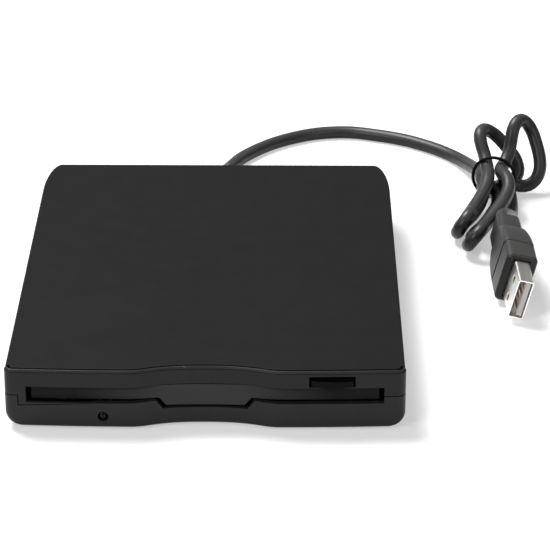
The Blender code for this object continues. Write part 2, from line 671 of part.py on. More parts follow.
def make_material(name, colour, roughness, metallic=0.0):
    material = bpy.data.materials.new(name)
    material.use_nodes = True
    shader = material.node_tree.nodes["Principled BSDF"]
    shader.inputs["Base Color"].default_value = (*colour, 1.0)
    shader.inputs["Roughness"].default_value = roughness
    shader.inputs["Metallic"].default_value = metallic
    return material


# Shapes, each a closed bmesh in world coordinates


def between(side, near, far):
    """The span from near to far on the +X side, or mirrored to the -X side."""
    return tuple(sorted((side * near, side * far)))


def around(middle, half):
    return (middle - half, middle + half)


def past(span, more=OVERRUN):
    """A span lengthened at both its ends."""
    return (span[0] - more, span[1] + more)


def block(x, y, z):
    shape = bmesh.new()
    bmesh.ops.create_cube(shape, size=1.0)
    size = Vector((x[1] - x[0], y[1] - y[0], z[1] - z[0]))
    middle = Vector(((x[0] + x[1]) / 2, (y[0] + y[1]) / 2, (z[0] + z[1]) / 2))
    for vertex in shape.verts:
        vertex.co = middle + Vector(a * b for a, b in zip(vertex.co, size))
    return shape


def loft(rings):
    """A closed solid through rings of equal point counts, capped at both ends."""
    shape = bmesh.new()
    loops = [[shape.verts.new(point) for point in ring] for ring in rings]
    count = len(loops[0])
    for lower, upper in zip(loops, loops[1:]):
        for index in range(count):
            after = (index + 1) % count
            shape.faces.new((lower[index], lower[after], upper[after], upper[index]))
    shape.faces.new(loops[0][::-1])
    shape.faces.new(loops[-1])
    bmesh.ops.recalc_face_normals(shape, faces=shape.faces)
    return shape


def place(axis, first, second, along):
    """A point from its place along an axis and its two other coordinates in X, Y, Z order."""
    if axis == "X":
        return (along, first, second)
    if axis == "Y":
        return (first, along, second)
    return (first, second, along)


def prism(axis, outline, span):
    return loft([[place(axis, a, b, along) for a, b in outline] for along in span])


def circle(middle, radius, sides):
    steps = (2 * math.pi * (index + 0.5) / sides for index in range(sides))
    return [(middle[0] + radius * math.cos(a), middle[1] + radius * math.sin(a)) for a in steps]


def turned(axis, middle, profile, sides=ROUND_SIDES):
    """A solid of revolution through (radius, place along the axis) pairs."""
    rings = []
    for radius, along in profile:
        rings.append([place(axis, a, b, along) for a, b in circle(middle, radius, sides)])
    return loft(rings)


def rod(axis, middle, radius, span, sides=ROUND_SIDES):
    return turned(axis, middle, ((radius, span[0]), (radius, span[1])), sides)


def group(*shapes):
    """Several separate shapes as one."""
    whole = bmesh.new()
    for shape in shapes:
        mesh = bpy.data.meshes.new("piece")
        shape.to_mesh(mesh)
        shape.free()
        whole.from_mesh(mesh)
        bpy.data.meshes.remove(mesh)
    return whole


def new_object(name, shape):
    mesh = bpy.data.meshes.new(name)
    shape.to_mesh(mesh)
    shape.free()
    item = bpy.data.objects.new(name, mesh)
    bpy.context.scene.collection.objects.link(item)
    return item


def assemble(name, material, shape, *steps, origin=(0.0, 0.0, 0.0)):
    """One node: a shape, then pieces added or cut in turn, with its origin where it turns."""
    node = new_object(name, shape)
    tools = []
    for operation, tool_shape in steps:
        tool = new_object("tool", tool_shape)
        tools.append(tool)
        change = node.modifiers.new("change", "BOOLEAN")
        change.operation = operation
        change.object = tool
        change.solver = "EXACT"
    if tools:
        graph = bpy.context.evaluated_depsgraph_get()
        result = bpy.data.meshes.new_from_object(node.evaluated_get(graph))
        node.modifiers.clear()
        node.data = result
        for tool in tools:
            bpy.data.objects.remove(tool)
    node.data.transform(Matrix.Translation(-Vector(origin)))
    node.location = origin
    node.data.materials.clear()
    node.data.materials.append(material)
    node.data.shade_smooth()
    node.data.set_sharp_from_angle(angle=SMOOTH_ANGLE)
    return node


def tube(name, material, lines, radius, resolution=2):
    """One round tube along each line of points, as a curve with a bevel and filled caps."""
    curve = bpy.data.curves.new(name, "CURVE")
    curve.dimensions = "3D"
    curve.bevel_depth = radius
    curve.bevel_resolution = resolution
    curve.use_fill_caps = True
    for line in lines:
        spline = curve.splines.new("POLY")
        spline.points.add(len(line) - 1)
        for point, place_on in zip(spline.points, line):
            point.co = (*place_on, 1.0)
    curve.materials.append(material)
    node = bpy.data.objects.new(name, curve)
    bpy.context.scene.collection.objects.link(node)
    return node


def helix(axis, middle, radius, start, pitch, turns, points_per_turn=10):
    count = int(turns * points_per_turn) + 1
    points = []
    for index in range(count):
        angle = 2 * math.pi * index / points_per_turn
        along = start + pitch * index / points_per_turn
        a = middle[0] + radius * math.cos(angle)
        b = middle[1] + radius * math.sin(angle)
        points.append(place(axis, a, b, along))
    return points


# The case's outline, seen from above


def recess_share(x):
    """How deep the finger recess is at x, as a share of its full depth."""
    away = abs(x) / RECESS_HALF_WIDTH
    blend = RECESS_BLEND_SHARE
    left = 1 - blend**RECESS_POWER
    slope = RECESS_POWER * blend ** (RECESS_POWER - 1)
    reach = 2 * left / slope
    if away <= blend:
        return 1 - away**RECESS_POWER
    if away >= blend + reach:
        return 0.0
    return left * ((blend + reach - away) / reach) ** 2


def bow_at(x):
    start = RECESS_HALF_WIDTH
    beyond = max(0.0, abs(x) - start) / (HALF_WIDTH - start)
    return FRONT_BOW * beyond**2


def front_at(x):
    return FRONT_Y + bow_at(x) + RECESS_DEPTH * recess_share(x)


def front_xs(last):
    """Places across the right half of the front, from the middle out to last."""
    inner = [share * RECESS_HALF_WIDTH for share in RECESS_STEP_SHARES]
    start = 2 * inner[-1] - inner[-2]
    outer = [start + share * (last - start) for share in BOW_STEP_SHARES]
    return inner + outer + [last]


def right_front(side_inset, front_inset):
    """The right half of the front and its corner, from the middle outwards."""
    radius = FRONT_CORNER_RADIUS
    corner_x = HALF_WIDTH - radius
    points = [(x, front_at(x) + front_inset) for x in front_xs(corner_x)]
    inner = max(radius - max(side_inset, front_inset), radius / 4)
    turn_x = HALF_WIDTH - side_inset - inner
    turn_y = points[-1][1] + inner
    points[-1] = (min(corner_x, turn_x), points[-1][1])
    for step in range(1, CORNER_STEPS + 1):
        angle = math.pi / 2 * step / CORNER_STEPS
        points.append((turn_x + inner * math.sin(angle), turn_y - inner * math.cos(angle)))
    return points


def case_outline(side_inset=0.0, front_inset=0.0, rear_inset=0.0, open_front=False):
    right = right_front(side_inset, front_inset)
    if open_front:
        right = [(x, FRONT_Y - OVERRUN) for x, y in right]
        right = [(x * (HALF_WIDTH - side_inset) / right[-1][0], y) for x, y in right]
    middle_x = HALF_WIDTH - side_inset - REAR_CORNER_ACROSS
    middle_y = REAR_Y - rear_inset - REAR_CORNER_ALONG
    for step in range(REAR_CORNER_STEPS + 1):
        angle = math.pi / 2 * step / REAR_CORNER_STEPS
        across = REAR_CORNER_ACROSS * math.cos(angle)
        along = REAR_CORNER_ALONG * math.sin(angle)
        right.append((middle_x + across, middle_y + along))
    left = [(-x, y) for x, y in reversed(right[1:])]
    return right + left


def case_ring(z, side_inset=0.0, front_inset=0.0, rear_inset=0.0, open_front=False):
    return [(x, y, z) for x, y in case_outline(side_inset, front_inset, rear_inset, open_front)]


def front_curve(inset, reach):
    """The front seen from above, from its right end round both corners to its left end."""
    right = right_front(inset, inset)
    right = right + [(HALF_WIDTH - inset, FRONT_Y + reach)]
    left = [(-x, y) for x, y in reversed(right[1:])]
    return left + right


def front_strip(levels, reach):
    """A wall that follows the front, through (height, outer inset, inner inset) levels."""
    rings = []
    for z, outer, inner in levels:
        ring = front_curve(outer, reach) + front_curve(inner, reach)[::-1]
        rings.append([(x, y, z) for x, y in ring])
    return loft(rings)


def rounded_foot_levels():
    """The base's lower edge: a large round at its sides and a small one at its ends."""
    levels = []
    for step in range(ROUND_STEPS + 1):
        angle = math.pi / 2 * step / ROUND_STEPS
        rise = SIDE_ROUND * (1 - math.cos(angle))
        side = SIDE_ROUND * (1 - math.sin(angle))
        short = max(0.0, END_ROUND - rise)
        end = END_ROUND - math.sqrt(END_ROUND**2 - short**2)
        levels.append((CASE_BOTTOM + rise, side, end))
    return levels


# Case


def screw_places(places):
    return [(side * x, y) for x, y in places for side in (-1, 1)]


def top_cover(materials):
    seam = BEZEL_REACH + GAP
    levels = (
        (PARTING_Z + GAP / 2, 0.0, 0.0),
        (PARTING_Z + COVER_STRAIGHT, 0.0, 0.0),
        (CASE_TOP - 2 * COVER_EDGE_DROP, COVER_DRAFT / 2, COVER_DRAFT / 2),
        (CASE_TOP - COVER_EDGE_DROP, COVER_DRAFT, COVER_DRAFT),
        (CASE_TOP, COVER_DRAFT + COVER_EDGE_INSET, COVER_DRAFT + COVER_EDGE_INSET),
    )
    outside = loft([case_ring(z, side, 0.0, rear) for z, side, rear in levels])
    low = PARTING_Z - OVERRUN
    inside = loft([case_ring(z, CASE_WALL, 0.0, CASE_WALL, True) for z in (low, CEILING_Z)])
    bezel_seat = front_strip(
        (
            (low, -OVERRUN, BEZEL_WALL + GAP),
            (CASE_TOP + OVERRUN, -OVERRUN, BEZEL_WALL + GAP),
        ),
        seam,
    )
    bosses = []
    pilots = []
    for place_at in screw_places(CASE_SCREW_PLACES):
        span = (BASE_BOSS_TOP + GAP, CEILING_Z + CEILING_WALL / 2)
        bosses.append(rod("Z", place_at, CASE_BOSS_RADIUS, span, SMALL_SIDES))
        drilled = (BASE_BOSS_TOP - OVERRUN, CASE_PILOT_TOP)
        pilots.append(rod("Z", place_at, SCREW_SHANK_RADIUS + GAP, drilled, SMALL_SIDES))
    assemble(
        "top_cover",
        materials["case"],
        outside,
        (CUT, inside),
        (CUT, bezel_seat),
        (ADD, group(*bosses)),
        (CUT, group(*pilots)),
    )


def rim_outline(grow):
    """The bezel's lower edge seen from the front: its slot rim with the notch in the middle."""
    return [
        (NOTCH_BOTTOM_HALF + SLOT_RIM + grow, BEZEL_BOTTOM - grow),
        (NOTCH_TOP_HALF + SLOT_RIM + grow, RIM_BOTTOM - grow),
        (RIM_X + grow, RIM_BOTTOM - grow),
    ]


def base_case(materials):
    levels = rounded_foot_levels()
    levels.append((PARTING_Z - GAP / 2, 0.0, 0.0))
    outside = loft([case_ring(z, side, end, end) for z, side, end in levels])
    top = PARTING_Z + OVERRUN
    inner = CASE_WALL
    inside = loft(
        [
            case_ring(FLOOR_Z, inner + CAVITY_FOOT_INSET, inner, inner),
            case_ring(CASE_BOTTOM + SIDE_ROUND, inner, inner, inner),
            case_ring(top, inner, inner, inner),
        ]
    )
    right = rim_outline(GAP) + [(RIM_X + GAP, top)]
    left = [(-x, z) for x, z in reversed(right)]
    bezel_seat = prism("Y", right + left, (FRONT_Y - OVERRUN, FRONT_Y + 2 * FRONT_DEPTH))
    lens_span = (FRONT_Y - OVERRUN, FRONT_Y + FRONT_DEPTH)
    lens_hole = rod("Y", (LED_X, LED_Z), LED_HOLE_RADIUS, lens_span)
    gland_span = (REAR_Y - 2 * inner, REAR_Y + OVERRUN)
    gland_hole = rod("Y", (0.0, CORD_Z), GLAND_NECK_RADIUS + GAP, gland_span)
    bosses = []
    holes = []
    sinks = []
    in_floor = CASE_BOTTOM + FLOOR_WALL / 2
    for place_at in screw_places(CASE_SCREW_PLACES):
        bosses.append(rod("Z", place_at, CASE_BOSS_RADIUS, (in_floor, BASE_BOSS_TOP), SMALL_SIDES))
        drilled = (-OVERRUN, BASE_BOSS_TOP + OVERRUN)
        holes.append(rod("Z", place_at, SCREW_SHANK_RADIUS + GAP, drilled, SMALL_SIDES))
        sunk = (-OVERRUN, CASE_BOTTOM + SCREW_SINK)
        sinks.append(rod("Z", place_at, SCREW_HEAD_RADIUS + GAP, sunk, SMALL_SIDES))
    for place_at in screw_places(CHASSIS_SCREW_PLACES):
        drilled = (-OVERRUN, FLOOR_Z + OVERRUN)
        holes.append(rod("Z", place_at, CHASSIS_SCREW_SHANK + GAP, drilled, SMALL_SIDES))
        sunk = (-OVERRUN, CASE_BOTTOM + CHASSIS_SCREW_SINK)
        sinks.append(rod("Z", place_at, SCREW_HEAD_RADIUS + GAP, sunk, SMALL_SIDES))
    for place_at in screw_places(FOOT_PLACES):
        seat = (-OVERRUN, CASE_BOTTOM + FOOT_SEAT_DEPTH)
        sinks.append(rod("Z", place_at, FOOT_RADIUS + GAP, seat))
    posts = []
    middle_y = sum(BRIDGE_BOARD_Y) / 2
    for x in BRIDGE_POST_XS:
        span = (in_floor, BRIDGE_BOARD_BOTTOM - GAP)
        posts.append(rod("Z", (x, middle_y), BRIDGE_POST_RADIUS, span, SMALL_SIDES))
    assemble(
        "base_case",
        materials["case"],
        outside,
        (CUT, inside),
        (CUT, bezel_seat),
        (CUT, group(lens_hole, gland_hole)),
        (ADD, group(*bosses, *posts)),
        (CUT, group(*holes)),
        (CUT, group(*sinks)),
    )


def front_bezel(materials):
    wall = front_strip(
        (
            (BEZEL_BOTTOM, 0.0, BEZEL_WALL),
            (BEZEL_TOP - BEZEL_CHAMFER_HEIGHT, 0.0, BEZEL_WALL),
            (BEZEL_TOP, BEZEL_CHAMFER, BEZEL_WALL),
        ),
        BEZEL_REACH,
    )
    deep = (FRONT_Y - OVERRUN, FRONT_Y + 2 * FRONT_DEPTH)
    low = BEZEL_BOTTOM - OVERRUN
    lower_cuts = []
    for side in (-1, 1):
        rim = rim_outline(0.0)
        outer = HALF_WIDTH + OVERRUN
        seam = PARTING_Z + GAP / 2
        outline = [(rim[0][0], low)] + rim + [(RIM_X, seam), (outer, seam), (outer, low)]
        lower_cuts.append(prism("Y", [(side * x, z) for x, z in outline], deep))
    slot = block(around(0.0, SLOT_HALF_WIDTH), deep, (SLOT_BOTTOM, SLOT_TOP))
    notch_top = SLOT_BOTTOM + SLOT_HEIGHT / 2
    notch = prism(
        "Y",
        [
            (-NOTCH_BOTTOM_HALF, NOTCH_BOTTOM),
            (NOTCH_BOTTOM_HALF, NOTCH_BOTTOM),
            (NOTCH_TOP_HALF, SLOT_BOTTOM),
            (NOTCH_TOP_HALF, notch_top),
            (-NOTCH_TOP_HALF, notch_top),
            (-NOTCH_TOP_HALF, SLOT_BOTTOM),
        ],
        deep,
    )
    pocket_half = BUTTON_WIDTH / 2 + POCKET_SIDE_GAP
    pocket_height = (POCKET_BOTTOM, POCKET_BOTTOM + POCKET_HEIGHT)
    pocket = block(around(BUTTON_X, pocket_half), deep, pocket_height)
    ears = []
    pin_holes = []
    for side in (-1, 1):
        inner = FLAP_HALF_WIDTH + EAR_GAP
        outer = inner + EAR_WIDTH
        foot = FLAP_AXIS[2] - EAR_FOOT
        across = between(side, inner, outer)
        depth = (FRONT_Y + bow_at(inner) + BEZEL_WALL / 2, FLAP_AXIS[1] + EAR_HALF_DEPTH)
        ears.append(block(across, depth, (foot, FLAP_AXIS[2] + EAR_RISE)))
        pin_hole = FLAP_PIN_RADIUS + RUNNING_GAP
        pin_holes.append(rod("X", FLAP_AXIS[1:], pin_hole, past(across), SMALL_SIDES))
    assemble(
        "front_bezel",
        materials["bezel"],
        wall,
        (CUT, group(*lower_cuts)),
        (CUT, slot),
        (CUT, notch),
        (CUT, pocket),
        (ADD, group(*ears)),
        (CUT, group(*pin_holes)),
    )


def flap_front(x):
    middle_share = recess_share(x)
    inset = FLAP_SETBACK + (RECESS_DEPTH - FLAP_SETBACK) * middle_share
    return FRONT_Y + bow_at(x) + inset


def slot_flap(materials):
    xs = front_xs(FLAP_HALF_WIDTH)
    xs = [-x for x in reversed(xs[1:])] + xs
    front = [(x, flap_front(x)) for x in xs]
    back = [(x, y + FLAP_WALL) for x, y in reversed(front)]
    tab_bottom = NOTCH_BOTTOM + FLAP_TAB_GAP
    side_bottom = SLOT_BOTTOM + FLAP_BOTTOM_GAP
    top = SLOT_TOP - FLAP_TOP_GAP
    plate = prism("Z", front + back, (tab_bottom, top))
    deep = (FRONT_Y - OVERRUN, FRONT_Y + 2 * FRONT_DEPTH)
    low = tab_bottom - OVERRUN
    tab_cuts = []
    for side in (-1, 1):
        tab_top = NOTCH_TOP_HALF - FLAP_TAB_GAP
        tab_low = NOTCH_BOTTOM_HALF - FLAP_TAB_GAP
        outer = FLAP_HALF_WIDTH + OVERRUN
        outline = [
            (tab_low, low),
            (tab_low, tab_bottom),
            (tab_top, side_bottom),
            (outer, side_bottom),
            (outer, low),
        ]
        tab_cuts.append(prism("Y", [(side * x, z) for x, z in outline], deep))
    reach = 2 * RECESS_HALF_WIDTH - NOTCH_TOP_HALF
    middle_cut = block(around(0.0, reach), deep, (top - FLAP_MIDDLE_DROP, top + OVERRUN))
    lugs = []
    pins = []
    for side in (-1, 1):
        lug_inner = FLAP_HALF_WIDTH - FLAP_LUG_WIDTH
        depth = around(FLAP_AXIS[1], FLAP_LUG_HALF_DEPTH)
        depth = (flap_front(lug_inner) + FLAP_WALL / 4, depth[1])
        rise = (top - FLAP_WALL, FLAP_AXIS[2] + FLAP_LUG_RISE)
        lugs.append(block(between(side, lug_inner, FLAP_HALF_WIDTH), depth, rise))
        span = between(side, lug_inner - FLAP_STUB_LENGTH, FLAP_HALF_WIDTH + FLAP_PIN_LENGTH)
        pins.append(rod("X", FLAP_AXIS[1:], FLAP_PIN_RADIUS, span, SMALL_SIDES))
    assemble(
        "slot_flap",
        materials["flap"],
        plate,
        (CUT, group(*tab_cuts)),
        (CUT, middle_cut),
        (ADD, group(*lugs)),
        (ADD, group(*pins)),
        origin=FLAP_AXIS,
    )


def flap_spring(materials):
    start = FLAP_HALF_WIDTH - FLAP_LUG_WIDTH - FLAP_STUB_LENGTH
    middle = FLAP_AXIS[1:]
    line = helix("X", middle, FLAP_SPRING_RADIUS, start, FLAP_SPRING_PITCH, FLAP_SPRING_TURNS)
    tube("flap_spring", materials["spring"], [line], FLAP_SPRING_WIRE, 1)


def eject_button(materials):
    half = BUTTON_WIDTH / 2
    back = FRONT_Y + BUTTON_BACK
    face = []
    for step in range(BUTTON_FACE_STEPS + 1):
        share = 2 * step / BUTTON_FACE_STEPS - 1
        face.append((BUTTON_X + half * share, FRONT_Y - BUTTON_PROUD + BUTTON_BULGE * share**2))
    outline = face + [(BUTTON_X + half, back), (BUTTON_X - half, back)]
    top = BUTTON_BOTTOM + BUTTON_HEIGHT
    head = prism("Z", outline, (BUTTON_BOTTOM, top))
    across = around(BUTTON_X, STEM_WIDTH / 2)
    stem = block(across, (back - BUTTON_BACK / 2, FRONT_Y + STEM_BACK), (STEM_BOTTOM, top))
    socket_front = FRONT_Y + STEM_BACK - SOCKET_WEB
    socket_span = (socket_front, socket_front + SOCKET_LENGTH)
    socket_top = STEM_BOTTOM + SOCKET_HEIGHT
    socket = block(around(BUTTON_X, SOCKET_WIDTH / 2), socket_span, (STEM_BOTTOM, socket_top))
    mouth_span = (socket_front + SOCKET_WEB, socket_span[1] + OVERRUN)
    mouth_height = (STEM_BOTTOM + SOCKET_WALL, socket_top - SOCKET_WALL)
    mouth = block(around(BUTTON_X, STEM_WIDTH / 2 + GAP), mouth_span, mouth_height)
    assemble(
        "eject_button",
        materials["button"],
        head,
        (ADD, stem),
        (ADD, socket),
        (CUT, mouth),
        origin=(BUTTON_X, FRONT_Y, BUTTON_BOTTOM),
    )
    return mouth_span[0]


# Mechanism


def chassis(materials):
    inner = CHASSIS_HALF_WIDTH - CHASSIS_STEEL
    length = (MECHANISM_FRONT, CHASSIS_REAR)
    floor = block(around(0.0, CHASSIS_HALF_WIDTH), length, (CHASSIS_BOTTOM, CHASSIS_FLOOR))
    embedded = CHASSIS_BOTTOM + CHASSIS_STEEL / 2
    uprights = []
    for side in (-1, 1):
        across = between(side, inner, CHASSIS_HALF_WIDTH)
        span = (MECHANISM_FRONT, CHASSIS_WALL_REAR)
        uprights.append(block(across, span, (CHASSIS_BOTTOM, CHASSIS_WALL_TOP)))
    rear_span = (CHASSIS_REAR - CHASSIS_STEEL, CHASSIS_REAR)
    rear_height = (CHASSIS_BOTTOM, CHASSIS_REAR_WALL_TOP)
    tabs = [block(around(0.0, CHASSIS_REAR_HALF_WIDTH), rear_span, rear_height)]
    for side in (-1, 1):
        across = around(side * SPRING_X, SPRING_TAB_HALF_WIDTH)
        along = (SPRING_TAB_Y, SPRING_TAB_Y + CHASSIS_STEEL)
        tabs.append(block(across, along, (embedded, SPRING_TAB_TOP)))
    front_span = (BRACKET_FRONT, BRACKET_FRONT + CHASSIS_STEEL)
    rod_rear = (ROD_REAR_BRACKET, ROD_REAR_BRACKET + CHASSIS_STEEL)
    screw_top = SCREW_Z + BRACKET_HALF_WIDTH
    rod_across = around(ROD_X, BRACKET_HALF_WIDTH)
    tabs.append(block(rod_across, front_span, (embedded, ROD_BRACKET_TOP)))
    tabs.append(block(rod_across, rod_rear, (embedded, ROD_BRACKET_TOP)))
    tabs.append(block(around(SCREW_X, BRACKET_HALF_WIDTH), front_span, (embedded, screw_top)))
    motor_span = (MOTOR_BRACKET_Y, MOTOR_BRACKET_Y + CHASSIS_STEEL)
    tabs.append(block(around(SCREW_X, STEPPER_RADIUS), motor_span, (embedded, MOTOR_BRACKET_TOP)))
    post_span = (embedded, LEVER_POST_TOP)
    tabs.append(rod("Z", LEVER_POST, LEVER_POST_RADIUS, post_span, SMALL_SIDES))
    notches = []
    stud_half = STUD_RADIUS + STUD_SIDE_GAP
    for side in (-1, 1):
        for y in STUD_YS:
            across = between(side, inner - CHASSIS_STEEL, CHASSIS_HALF_WIDTH + OVERRUN)
            low = STUD_Z - HOLDER_DROP - STUD_RADIUS - GAP
            notches.append(block(across, around(y, stud_half), (low, CHASSIS_WALL_TOP + OVERRUN)))
    through = past((CHASSIS_BOTTOM, CHASSIS_FLOOR))
    holes = [rod("Z", (0.0, SPINDLE_Y), BEARING_RADIUS + GAP, through)]
    for place_at in screw_places(CHASSIS_SCREW_PLACES):
        holes.append(rod("Z", place_at, CHASSIS_SCREW_SHANK + GAP, through, SMALL_SIDES))
    rod_hole = ROD_RADIUS + RUNNING_GAP
    screw_hole = SCREW_RADIUS + SCREW_OFFSET + GAP
    for place_at, radius, span in (
        ((ROD_X, ROD_Z), rod_hole, front_span),
        ((ROD_X, ROD_Z), rod_hole, rod_rear),
        ((SCREW_X, SCREW_Z), BUSH_RADIUS + GAP, front_span),
        ((SCREW_X, SCREW_Z), screw_hole, motor_span),
    ):
        holes.append(rod("Y", place_at, radius, past(span, CHASSIS_STEEL), SMALL_SIDES))
    assemble(
        "chassis",
        materials["steel"],
        floor,
        (ADD, group(*uprights)),
        (ADD, group(*tabs)),
        (CUT, group(*notches)),
        (CUT, group(*holes)),
    )


def disk_holder(materials):
    inner = HOLDER_HALF_WIDTH - HOLDER_STEEL
    along = (MECHANISM_FRONT - GAP, HOLDER_REAR)
    tray = block(around(0.0, HOLDER_HALF_WIDTH), along, (HOLDER_LIP_BOTTOM, HOLDER_TOP))
    bay = block(around(0.0, inner), past(along), (HOLDER_LIP_TOP, HOLDER_PLATE_BOTTOM))
    between_lips = around(0.0, HOLDER_HALF_WIDTH - HOLDER_LIP)
    lips = past((HOLDER_LIP_BOTTOM, HOLDER_LIP_TOP), HOLDER_STEEL)
    below = block(between_lips, past(along), lips)
    head_window = block(
        around(0.0, HOLDER_WINDOW_HALF_WIDTH),
        (HOLDER_WINDOW_FRONT, HOLDER_REAR + OVERRUN),
        past((HOLDER_PLATE_BOTTOM, HOLDER_TOP), HOLDER_STEEL),
    )
    studs = []
    for side in (-1, 1):
        for y in STUD_YS:
            in_wall = HOLDER_HALF_WIDTH - HOLDER_STEEL / 2
            span = between(side, in_wall, HOLDER_HALF_WIDTH + STUD_LENGTH)
            studs.append(rod("X", (y, STUD_Z), STUD_RADIUS, span, SMALL_SIDES))
    assemble(
        "disk_holder",
        materials["steel"],
        tray,
        (CUT, bay),
        (CUT, below),
        (CUT, head_window),
        (ADD, group(*studs)),
        origin=(0.0, SPINDLE_Y, HOLDER_LIP_BOTTOM),
    )


def cam_slot(side, y):
    """A slanted slot that takes a stud down by the holder's drop over the slide's travel."""
    half = STUD_RADIUS + STUD_SIDE_GAP
    slope = math.atan2(HOLDER_DROP, SLIDE_TRAVEL)
    reach = half / math.cos(slope)
    low = (y - half, y + SLIDE_TRAVEL + half)
    rise = half * math.tan(slope)
    outline = [
        (low[0], STUD_Z + reach + rise),
        (low[1], STUD_Z - HOLDER_DROP + reach - rise),
        (low[1], STUD_Z - HOLDER_DROP - reach - rise),
        (low[0], STUD_Z - reach + rise),
    ]
    flange = (SLIDE_HALF_WIDTH - SLIDE_STEEL, SLIDE_HALF_WIDTH)
    return prism("X", outline, between(side, *past(flange, SLIDE_STEEL / 2)))


def eject_slide(materials, tongue_front):
    top = SLIDE_BOTTOM + SLIDE_STEEL
    front = MECHANISM_FRONT + GAP
    right = [
        (SLIDE_NOTCH_HALF_WIDTH, front + SLIDE_NOSE_NOTCH),
        (SLIDE_NOTCH_HALF_WIDTH, front),
        (SLIDE_HALF_WIDTH - SLIDE_CORNER_CUT, front),
        (SLIDE_HALF_WIDTH, front + SLIDE_CORNER_CUT),
        (SLIDE_HALF_WIDTH, SLIDE_FLANGE_REAR),
        (SPRING_X + SPRING_TAB_HALF_WIDTH, SLIDE_ARM_REAR),
        (SLIDE_ARM_INNER, SLIDE_ARM_REAR),
        (SLIDE_ARM_INNER - SPRING_TAB_HALF_WIDTH, SLIDE_BRIDGE_REAR),
    ]
    left = [(-x, y) for x, y in reversed(right)]
    plate = prism("Z", right + left, (SLIDE_BOTTOM, top))
    tongue_span = (tongue_front + GAP, front + OVERRUN)
    tongue = block(around(BUTTON_X, STEM_WIDTH / 2), tongue_span, (SLIDE_BOTTOM, top))
    flanges = []
    hooks = []
    slots = []
    for side in (-1, 1):
        across = between(side, SLIDE_HALF_WIDTH - SLIDE_STEEL, SLIDE_HALF_WIDTH)
        span = (SLIDE_FLANGE_FRONT, SLIDE_FLANGE_REAR)
        flanges.append(block(across, span, (SLIDE_FLANGE_BOTTOM, top)))
        hook_near = SPRING_X + SLIDE_SPRING_RADIUS + SLIDE_SPRING_WIRE + GAP
        hook_span = (SLIDE_ARM_REAR - SLIDE_HOOK_LENGTH, SLIDE_ARM_REAR)
        hook = between(side, hook_near, hook_near + SLIDE_STEEL)
        hooks.append(block(hook, hook_span, (SLIDE_HOOK_BOTTOM, top)))
        for y in STUD_YS:
            slots.append(cam_slot(side, y))
    assemble(
        "eject_slide",
        materials["bright_steel"],
        plate,
        (ADD, tongue),
        (ADD, group(*flanges)),
        (ADD, group(*hooks)),
        (CUT, group(*slots)),
        origin=(0.0, FRONT_Y, SLIDE_BOTTOM),
    )


def slide_springs(materials):
    """Each spring runs from its chassis tab to beside the slide's hook."""
    start = SPRING_TAB_Y + CHASSIS_STEEL + GAP + SLIDE_SPRING_WIRE
    pitch = (SLIDE_ARM_REAR - SLIDE_SPRING_RADIUS - start) / SLIDE_SPRING_TURNS
    for side, name in ((-1, "slide_spring_left"), (1, "slide_spring_right")):
        middle = (side * SPRING_X, SPRING_Z)
        turns = SLIDE_SPRING_TURNS
        line = helix("Y", middle, SLIDE_SPRING_RADIUS, start, pitch, turns, SLIDE_SPRING_POINTS)
        tube(name, materials["spring"], [line], SLIDE_SPRING_WIRE, 0)


def shutter_lever(materials):
    span = (LEVER_BOTTOM, LEVER_BOTTOM + LEVER_THICKNESS)
    tip = (LEVER_POST[0] + LEVER_REACH[0], LEVER_POST[1] + LEVER_REACH[1])
    length = math.hypot(*LEVER_REACH)
    across = (-LEVER_REACH[1] / length, LEVER_REACH[0] / length)
    arm = []
    for (x, y), half in ((LEVER_POST, LEVER_HUB_RADIUS), (tip, LEVER_TIP_RADIUS)):
        reach = half * LEVER_TAPER_SHARE
        arm.append((x - across[0] * reach, y - across[1] * reach))
        arm.append((x + across[0] * reach, y + across[1] * reach))
    outline = [arm[0], arm[2], arm[3], arm[1]]
    hub = rod("Z", LEVER_POST, LEVER_HUB_RADIUS, span)
    end = rod("Z", tip, LEVER_TIP_RADIUS, span, SMALL_SIDES)
    hole = rod("Z", LEVER_POST, LEVER_POST_RADIUS + RUNNING_GAP, past(span))
    assemble(
        "shutter_lever",
        materials["bright_steel"],
        prism("Z", outline, span),
        (ADD, hub),
        (ADD, end),
        (CUT, hole),
        origin=(*LEVER_POST, LEVER_BOTTOM),
    )


def lever_spring(materials):
    pitch = LEVER_SPRING_PITCH
    start = LEVER_BOTTOM - GAP - LEVER_SPRING_WIRE - pitch * LEVER_SPRING_TURNS
    line = helix("Z", LEVER_POST, LEVER_SPRING_RADIUS, start, pitch, LEVER_SPRING_TURNS)
    tube("lever_spring", materials["spring"], [line], LEVER_SPRING_WIRE, 1)


